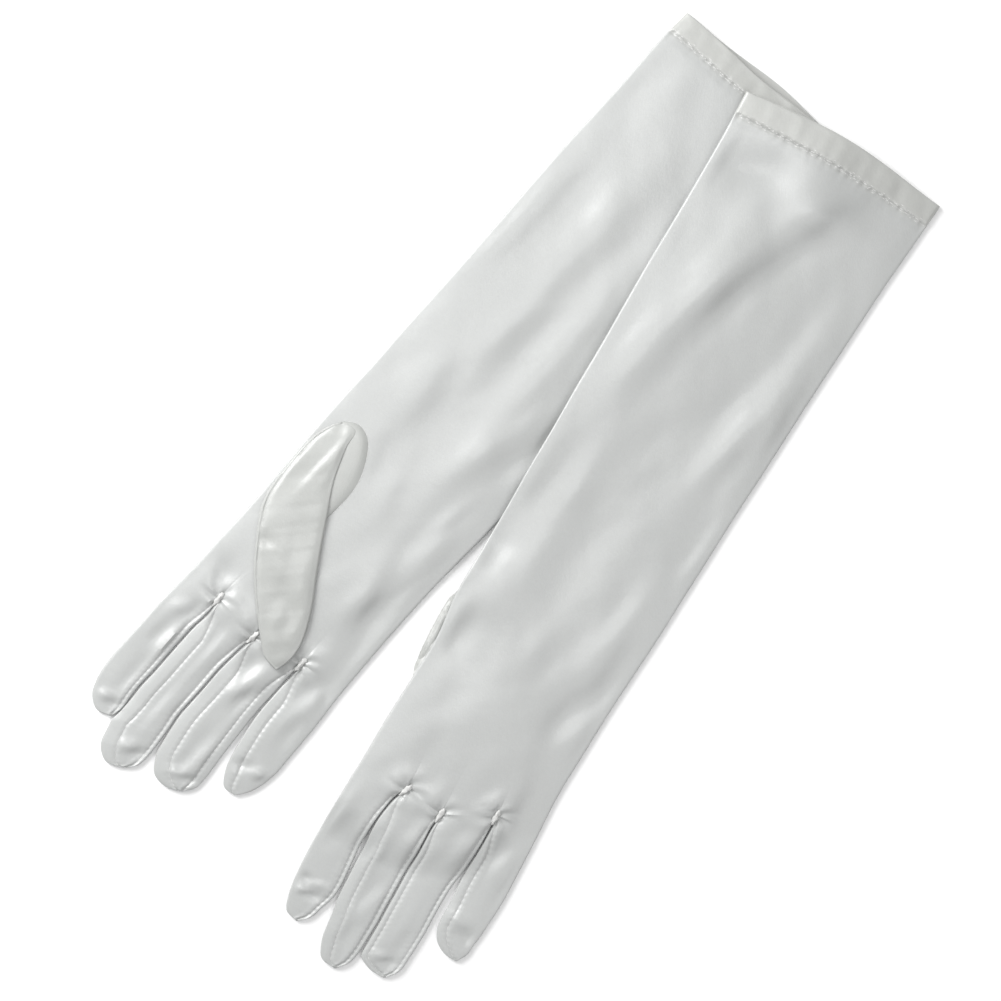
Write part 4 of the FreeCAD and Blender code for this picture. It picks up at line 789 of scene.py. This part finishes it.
def palm_level(side, P, which, rough=1.0):
    """height of the palm ply's outer surface at plan points, away from the crotches"""
    e1, _ = line_dist(P, spline(OUTLINE[side + "_in"], 60))
    e2, _ = line_dist(P, spline(OUTLINE[side + "_out"], 60))
    W = e1 + e2
    if which == "R":
        return R0 + roll(np.minimum(e1, e2)) + TT * swell(e1 / W, W) + (folds(P, FOLDS["R"]) + rough * crinkle(P)) * smooth(np.minimum(e1, e2) / 9.0)
    return tuck(P) + drape(P)


def cross_at(C, root, d, s):
    n = np.array([-d[1], d[0]])
    q = (C - root) @ d
    w = (C - root) @ n
    keep = np.r_[True, np.diff(np.maximum.accumulate(q)) > 1e-6]
    return np.interp(s, q[keep], w[keep])


def thumb(side, nm, glove, Pp, oval, low):
    ta, tb, ov = spline(OUTLINE[side + "_thumb_a"], 400), spline(OUTLINE[side + "_thumb_b"], 400), spline(OUTLINE[side + "_oval"], 120)
    root, d = thumb_axis(side)
    n = np.array([-d[1], d[0]])
    # where the fold line crosses the two sides
    qa = (ta - root) @ d; qb = (tb - root) @ d
    ia = int(np.argmax((qa > 0) & (np.arange(400) > 120))); ib = int(np.argmax((qb > 0) & (np.arange(400) > 90)))
    f1 = np.linspace(0.03, 1, 46)
    rowsA = at(ta, f1 * ia / 399.0); rowsB = at(tb, f1 * ib / 399.0)
    s_end = qa.max()
    s2 = np.r_[np.linspace(0, s_end - 9, 58)[1:], s_end - np.array([8, 7, 6, 5, 4.2, 3.4, 2.7, 2.0, 1.4, 0.9, 0.5, 0.25])]
    # ease the paired rows into rows square to the thumb
    wa, wb = cross_at(ta[ia - 25:], root, d, s2), cross_at(tb[ib - 25:], root, d, s2)
    PA = np.vstack([rowsA, root + np.outer(s2, d) + np.outer(wa, n)])
    PB = np.vstack([rowsB, root + np.outer(s2, d) + np.outer(wb, n)])
    nh = len(f1)
    W = np.linalg.norm(PB - PA, axis=1)
    nc = 29
    v = 0.5 - 0.5 * np.cos(np.pi * np.linspace(0, 1, nc)) ** 1
    v = 0.35 * np.linspace(0, 1, nc) + 0.65 * v
    V = np.repeat(v[None], len(W), 0)
    XY = PA[:, None] + (PB - PA)[:, None] * V[..., None]
    E = np.minimum(V, 1 - V) * W[:, None]
    s_all = np.r_[(f1 - 1) * 55.0, s2]
    r1 = 0.7
    q = np.clip(E / r1, 0, 1)
    rl = r1 * np.sqrt(1 - (1 - q) ** 2)
    h = swell(V, W[:, None], 3.2 if side == "R" else 9.0)
    grow = smooth((s_all + 55) / 26.0)[:, None]
    if side == "R":
        base = palm_level("R", XY, "R") + 0.12
        base = base - 0.5 * (1 - grow)
        bot = base + r1 - rl
        even = palm_level("R", XY, "R", 0.0) - 0.5 * (1 - grow) + 0.25
        top = np.maximum(even, base) + r1 + rl + 1.5 * h * (0.25 + 0.75 * grow)
        fold_t = [(-83.2, -42.3, -0.11, -0.99, 15, 2.6, 0.85), (-91.4, -49.3, -0.11, -0.99, 17, 4, -0.55), (-76.0, -41.4, 0.19, -0.98, 12, 3.5, -0.35), (-60.2, -115.3, 0.40, -0.92, 9, 3.5, 0.5), (-49.2, -114.8, 0.30, -0.95, 8, 3.5, 0.45),
                  (-64.1, -101.9, 0.73, -0.69, 12, 4, -0.35), (-64.7, -87.4, 0.57, -0.82, 18, 5, 0.35), (-48.9, -127.1, 0.96, 0.29, 6, 3, -0.4), (-83.2, -22.6, 0.79, -0.61, 4, 2, 0.4), (-87.4, -24.3, 0.79, -0.61, 4, 1.8, -0.3), (-87.0, -88.0, 0.91, -0.42, 5, 2.2, -0.9), (-79.0, -88.4, 0.98, -0.17, 7, 2.5, 0.35)]
        top = top + folds(XY, fold_t) * smooth(E / 3.0) + 0.10 * wob(s_all[:, None] + XY[..., 0] * 0.3, 0.45, 2.0) * smooth(E / 4.0)
        # sewn down along the left of the oval, with a drawn-in stitched line
        seam = np.exp(-(((V * W[:, None]) - 2.0) / 0.6) ** 2) * smooth((s_all[:, None] + 50) / 10) * (1 - smooth((s_all[:, None] - 40) / 8))
        top = top - 0.45 * seam + 0.25 * np.exp(-(((V * W[:, None]) - 0.9) / 0.5) ** 2)
        seam2 = np.exp(-((((1 - V) * W[:, None]) - 1.7) / 0.6) ** 2) * smooth((s_all[:, None] + 50) / 10)
        top = top - 0.08 * seam2
    else:
        pl = palm_level("L", XY, "L")
        thick = np.minimum(pl - 0.15, 2.0 * r1 + 2.6 * h)
        bot_t = r1 - rl
        top_t = r1 + rl + 2.2 * h
        lift = (1 - smooth((s_all + 34) / 30.0))[:, None]
        # nearer the oval the thumb climbs up into the palm
        bot = bot_t + lift * (pl - 1.2 - 0.3 * h)
        top = np.minimum(top_t + lift * pl, np.maximum(pl - 0.1, bot + 2 * rl))
        top = np.where(V * W[:, None] > 6.0, np.minimum(top, pl - 0.08), top)
        # the bit that shows beyond the palm's edge is rounder
        de, se = line_dist(XY, spline(OUTLINE["L_in"], 120))
        eo = np.where(se < 0, de, 0.0)
        top = top + 0.7 * smooth(eo / 1.4) * smooth(E / 3.0) * lift
        droop = lift * 2.0 * smooth((5.0 - V * W[:, None]) / 5.0)
        top, bot = top - droop, np.maximum(bot - droop, 0)
        top = np.maximum(top, bot + 0.3 * rl + 0.02)
    Pt = np.concatenate([XY, top[..., None]], -1)
    Pb = np.concatenate([XY, np.maximum(bot, 0)[..., None]], -1)
    mid = 0.5 * (Pt[:, (0, -1), 2] + Pb[:, (0, -1), 2])
    for j, c in ((0, 0), (-1, 1)):
        Pt[:, j, 2] = Pb[:, j, 2] = mid[:, c]
    rg = np.concatenate([Pt, Pb[:, ::-1][:, 1:-1]], 1)
    nn = normals(rg)
    if nn[len(W) // 2, nc // 2, 2] < 0:
        nn = -nn
    Nt = nn[:, :nc]; Nb = np.concatenate([nn[:, :1], nn[:, nc:][:, ::-1], nn[:, nc - 1:nc]], 1)
    T = np.full(XY.shape[:2], 0.42)
    T = np.minimum(T, 0.08 + 0.36 * smooth((s_end - s_all)[:, None] / 3.0))
    T = np.minimum(T, np.maximum(0.45 * (top - bot), 0.05) + 0.15)
    uv = np.stack([V * W[:, None] * 0.01 + 2, s_all[:, None] * 0.01 * np.ones((1, nc))], -1)
    R = np.concatenate([Pt, Pb[:, ::-1][:, 1:]], 1); RN = np.concatenate([Nt, Nb[:, ::-1][:, 1:]], 1)
    RT = np.concatenate([T, T[:, ::-1][:, 1:]], 1); RU = np.concatenate([uv, uv[:, ::-1][:, 1:] * [-1, 1]], 1)
    R[:, -1] = R[:, 0]; RN[:, -1] = RN[:, 0]

    def tube(sl, name):
        """a closed-walled tube: outer and inner skins joined at both ends"""
        P, N_, T_, U_ = R[sl][:, :-1], RN[sl][:, :-1], RT[sl][:, :-1], RU[sl][:, :-1]
        r, c = P.shape[:2]
        Q = P - N_ * T_[..., None]
        vv = np.vstack([P.reshape(-1, 3), Q.reshape(-1, 3)]) * MM
        uu = np.vstack([U_.reshape(-1, 2)] * 2)
        i = np.arange(r * c).reshape(r, c); j = np.roll(i, -1, 1); o = r * c
        f = np.stack([i[:-1], j[:-1], j[1:], i[1:]], -1).reshape(-1, 4)
        p0, p1, p2 = P[r // 2, nc // 2], P[r // 2, nc // 2 + 1], P[r // 2 + 1, nc // 2]
        fl = np.dot(np.cross(p1 - p0, p2 - p0), N_[r // 2, nc // 2]) < 0
        g = f[:, ::-1] + o
        r0 = np.stack([i[0], i[0] + o, j[0] + o, j[0]], -1)
        r1_ = np.stack([i[-1], j[-1], j[-1] + o, i[-1] + o], -1)
        ff = np.vstack([f, g, r0, r1_])
        return vv, (ff[:, ::-1] if fl else ff), uu

    parts = [tube(slice(0, nh), "g")]
    # the rest of the oval: cloth sewn flush into the palm
    f2 = np.linspace(0.02, 1, 40)
    ja = 400 * 0.5
    LA = at(ta, f2 * 0.5); RB = at(ov, f2)
    m = 19
    vv = np.linspace(0, 1, m)
    G = LA[:, None] + (RB - LA)[:, None] * vv[None, :, None]
    WG = np.linalg.norm(RB - LA, axis=1)[:, None]
    e = np.minimum(vv, 1 - vv)[None] * WG
    eend = (1 - f2)[:, None] * 45.0
    puff = 0.75 * (1 - np.exp(-e / 2.0)) * (1 - 0.4 * np.exp(-eend / 2.0))
    if side == "R":
        zt = palm_level("R", G, "R") - 0.35 + puff * 2.1
        zs = 1.0
    else:
        zt = palm_level("L", G, "L") + 0.25 - 0.3 * puff
        dg, sg = line_dist(G, spline(OUTLINE["L_in"], 120))
        zt = zt - 3.0 * smooth(np.where(sg < 0, dg, 0.0) / 1.5)
        zs = -1.0
    GP = np.concatenate([G, zt[..., None]], -1)
    gn = np.cross(np.gradient(GP, axis=1), np.gradient(GP, axis=0)); gn /= np.maximum(np.linalg.norm(gn, axis=2, keepdims=True), 1e-12)
    if gn[20, m // 2, 2] * zs < 0:
        gn = -gn
    parts.append(closed_piece("p", GP, gn, np.full(G.shape[:2], 0.4), np.stack([vv[None] * WG * 0.01 + 3, np.repeat(f2[:, None] * 0.5, m, 1)], -1)))
    ob = make_mesh(nm + "_thumb_gusset_satin", parts, M_THUMB, (nm + "_thumb_gusset",))
    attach(ob, glove)
    ob = make_mesh(nm + "_thumb_satin", [tube(slice(nh - 1, None), "s")], M_THUMB, (nm + "_thumb",))
    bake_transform(ob)
    # stitches round the oval
    lo = np.vstack([at(ta, np.linspace(0.5, 0.02, 60)), ov[4:]])
    z = palm_level(side, lo, side)
    P3 = np.c_[lo, z + (0.02 if side == "R" else -0.1)]
    ss = stitch_parts(P3, np.repeat([[0, 0, zs]], len(P3), 0).astype(float), pitch=2.9, start=1.0, size=(1.6, 0.3, 0.24), lift=0.0)
    # and along the thumb's own side seam, as far as the fold
    row = slice(4, nh - 2)
    j = int(np.argmin(abs(V[0] * W[nh // 2] - 2.0)))
    ss += stitch_parts(Pt[row, j], Nt[row, j], pitch=2.9, start=1.0, size=(1.3, 0.34, 0.22), lift=0.02)
    ob = make_mesh(nm + "_thumb_seam_stitching", ss, M_THREAD, (nm + "_thumb_seam_thread",))
    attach(ob, glove)


build("R")
build("L")

# ---- floor, light and camera ----
def floor_mat():
    m = bpy.data.materials.new("pale_floor")
    m.use_nodes = True
    nt = m.node_tree
    bs = nt.nodes["Principled BSDF"]
    tc = node(nt, "ShaderNodeTexCoord", -700, 0)
    n = node(nt, "ShaderNodeTexNoise", -500, 0); n.inputs["Scale"].default_value = 3.0
    nt.links.new(tc.outputs["Object"], n.inputs["Vector"])
    r = node(nt, "ShaderNodeValToRGB", -300, 0)
    r.color_ramp.elements[0].color = (0.93, 0.93, 0.93, 1); r.color_ramp.elements[1].color = (0.95, 0.95, 0.95, 1)
    nt.links.new(n.outputs["Fac"], r.inputs["Fac"]); nt.links.new(r.outputs["Color"], bs.inputs["Base Color"])
    bs.inputs["Roughness"].default_value = 0.9
    bs.inputs["Specular IOR Level"].default_value = 0.1
    return m


me = bpy.data.meshes.new("floor")
me.from_pydata([(-4, -4, -0.0006), (4, -4, -0.0006), (4, 4, -0.0006), (-4, 4, -0.0006)], [], [(0, 1, 2, 3)])
fl = bpy.data.objects.new("floor", me)
bpy.context.scene.collection.objects.link(fl)
fl.data.materials.append(floor_mat())

world = bpy.data.worlds.new("studio")
bpy.context.scene.world = world
world.use_nodes = True
world.node_tree.nodes["Background"].inputs[0].default_value = (1.0, 1.0, 1.0, 1)
world.node_tree.nodes["Background"].inputs[1].default_value = 0.42


def lamp(name, loc, size, power, target=(0, 0, 0), color=(1, 1, 1)):
    ld = bpy.data.lights.new(name, "AREA")
    ld.shape = "RECTANGLE"; ld.size = size[0]; ld.size_y = size[1]; ld.energy = power; ld.color = color
    ob = bpy.data.objects.new(name, ld)
    ob.location = loc
    from mathutils import Vector
    dr = Vector(target) - Vector(loc)
    ob.rotation_euler = dr.to_track_quat("-Z", "Y").to_euler()
    bpy.context.scene.collection.objects.link(ob)
    return ob


def at35(x, y, z):
    return (x * math.cos(A35) - y * math.sin(A35), x * math.sin(A35) + y * math.cos(A35), z)


lamp("key", at35(-0.85, 0.80, 0.75), (0.8, 0.8), 23.0)
lamp("fill", at35(0.9, -0.9, 1.6), (1.2, 1.2), 9.0)
lamp("sky", at35(-0.1, 0.25, 1.9), (0.5, 0.5), 6.0)

cam = bpy.data.cameras.new("camera")
cam.lens = 100.0
cam.sensor_width = 36.0
co = bpy.data.objects.new("camera", cam)
c0 = np.array([-0.988, -7.162]) * MM
co.location = (float(c0[0]), float(c0[1]), 0.4905 * 100.0 / 36.0 + 0.004)
co.rotation_euler = (0, 0, A35)
cam.clip_start = 0.01
bpy.context.scene.collection.objects.link(co)
bpy.context.scene.camera = co
bpy.context.scene.view_settings.view_transform = "Standard"
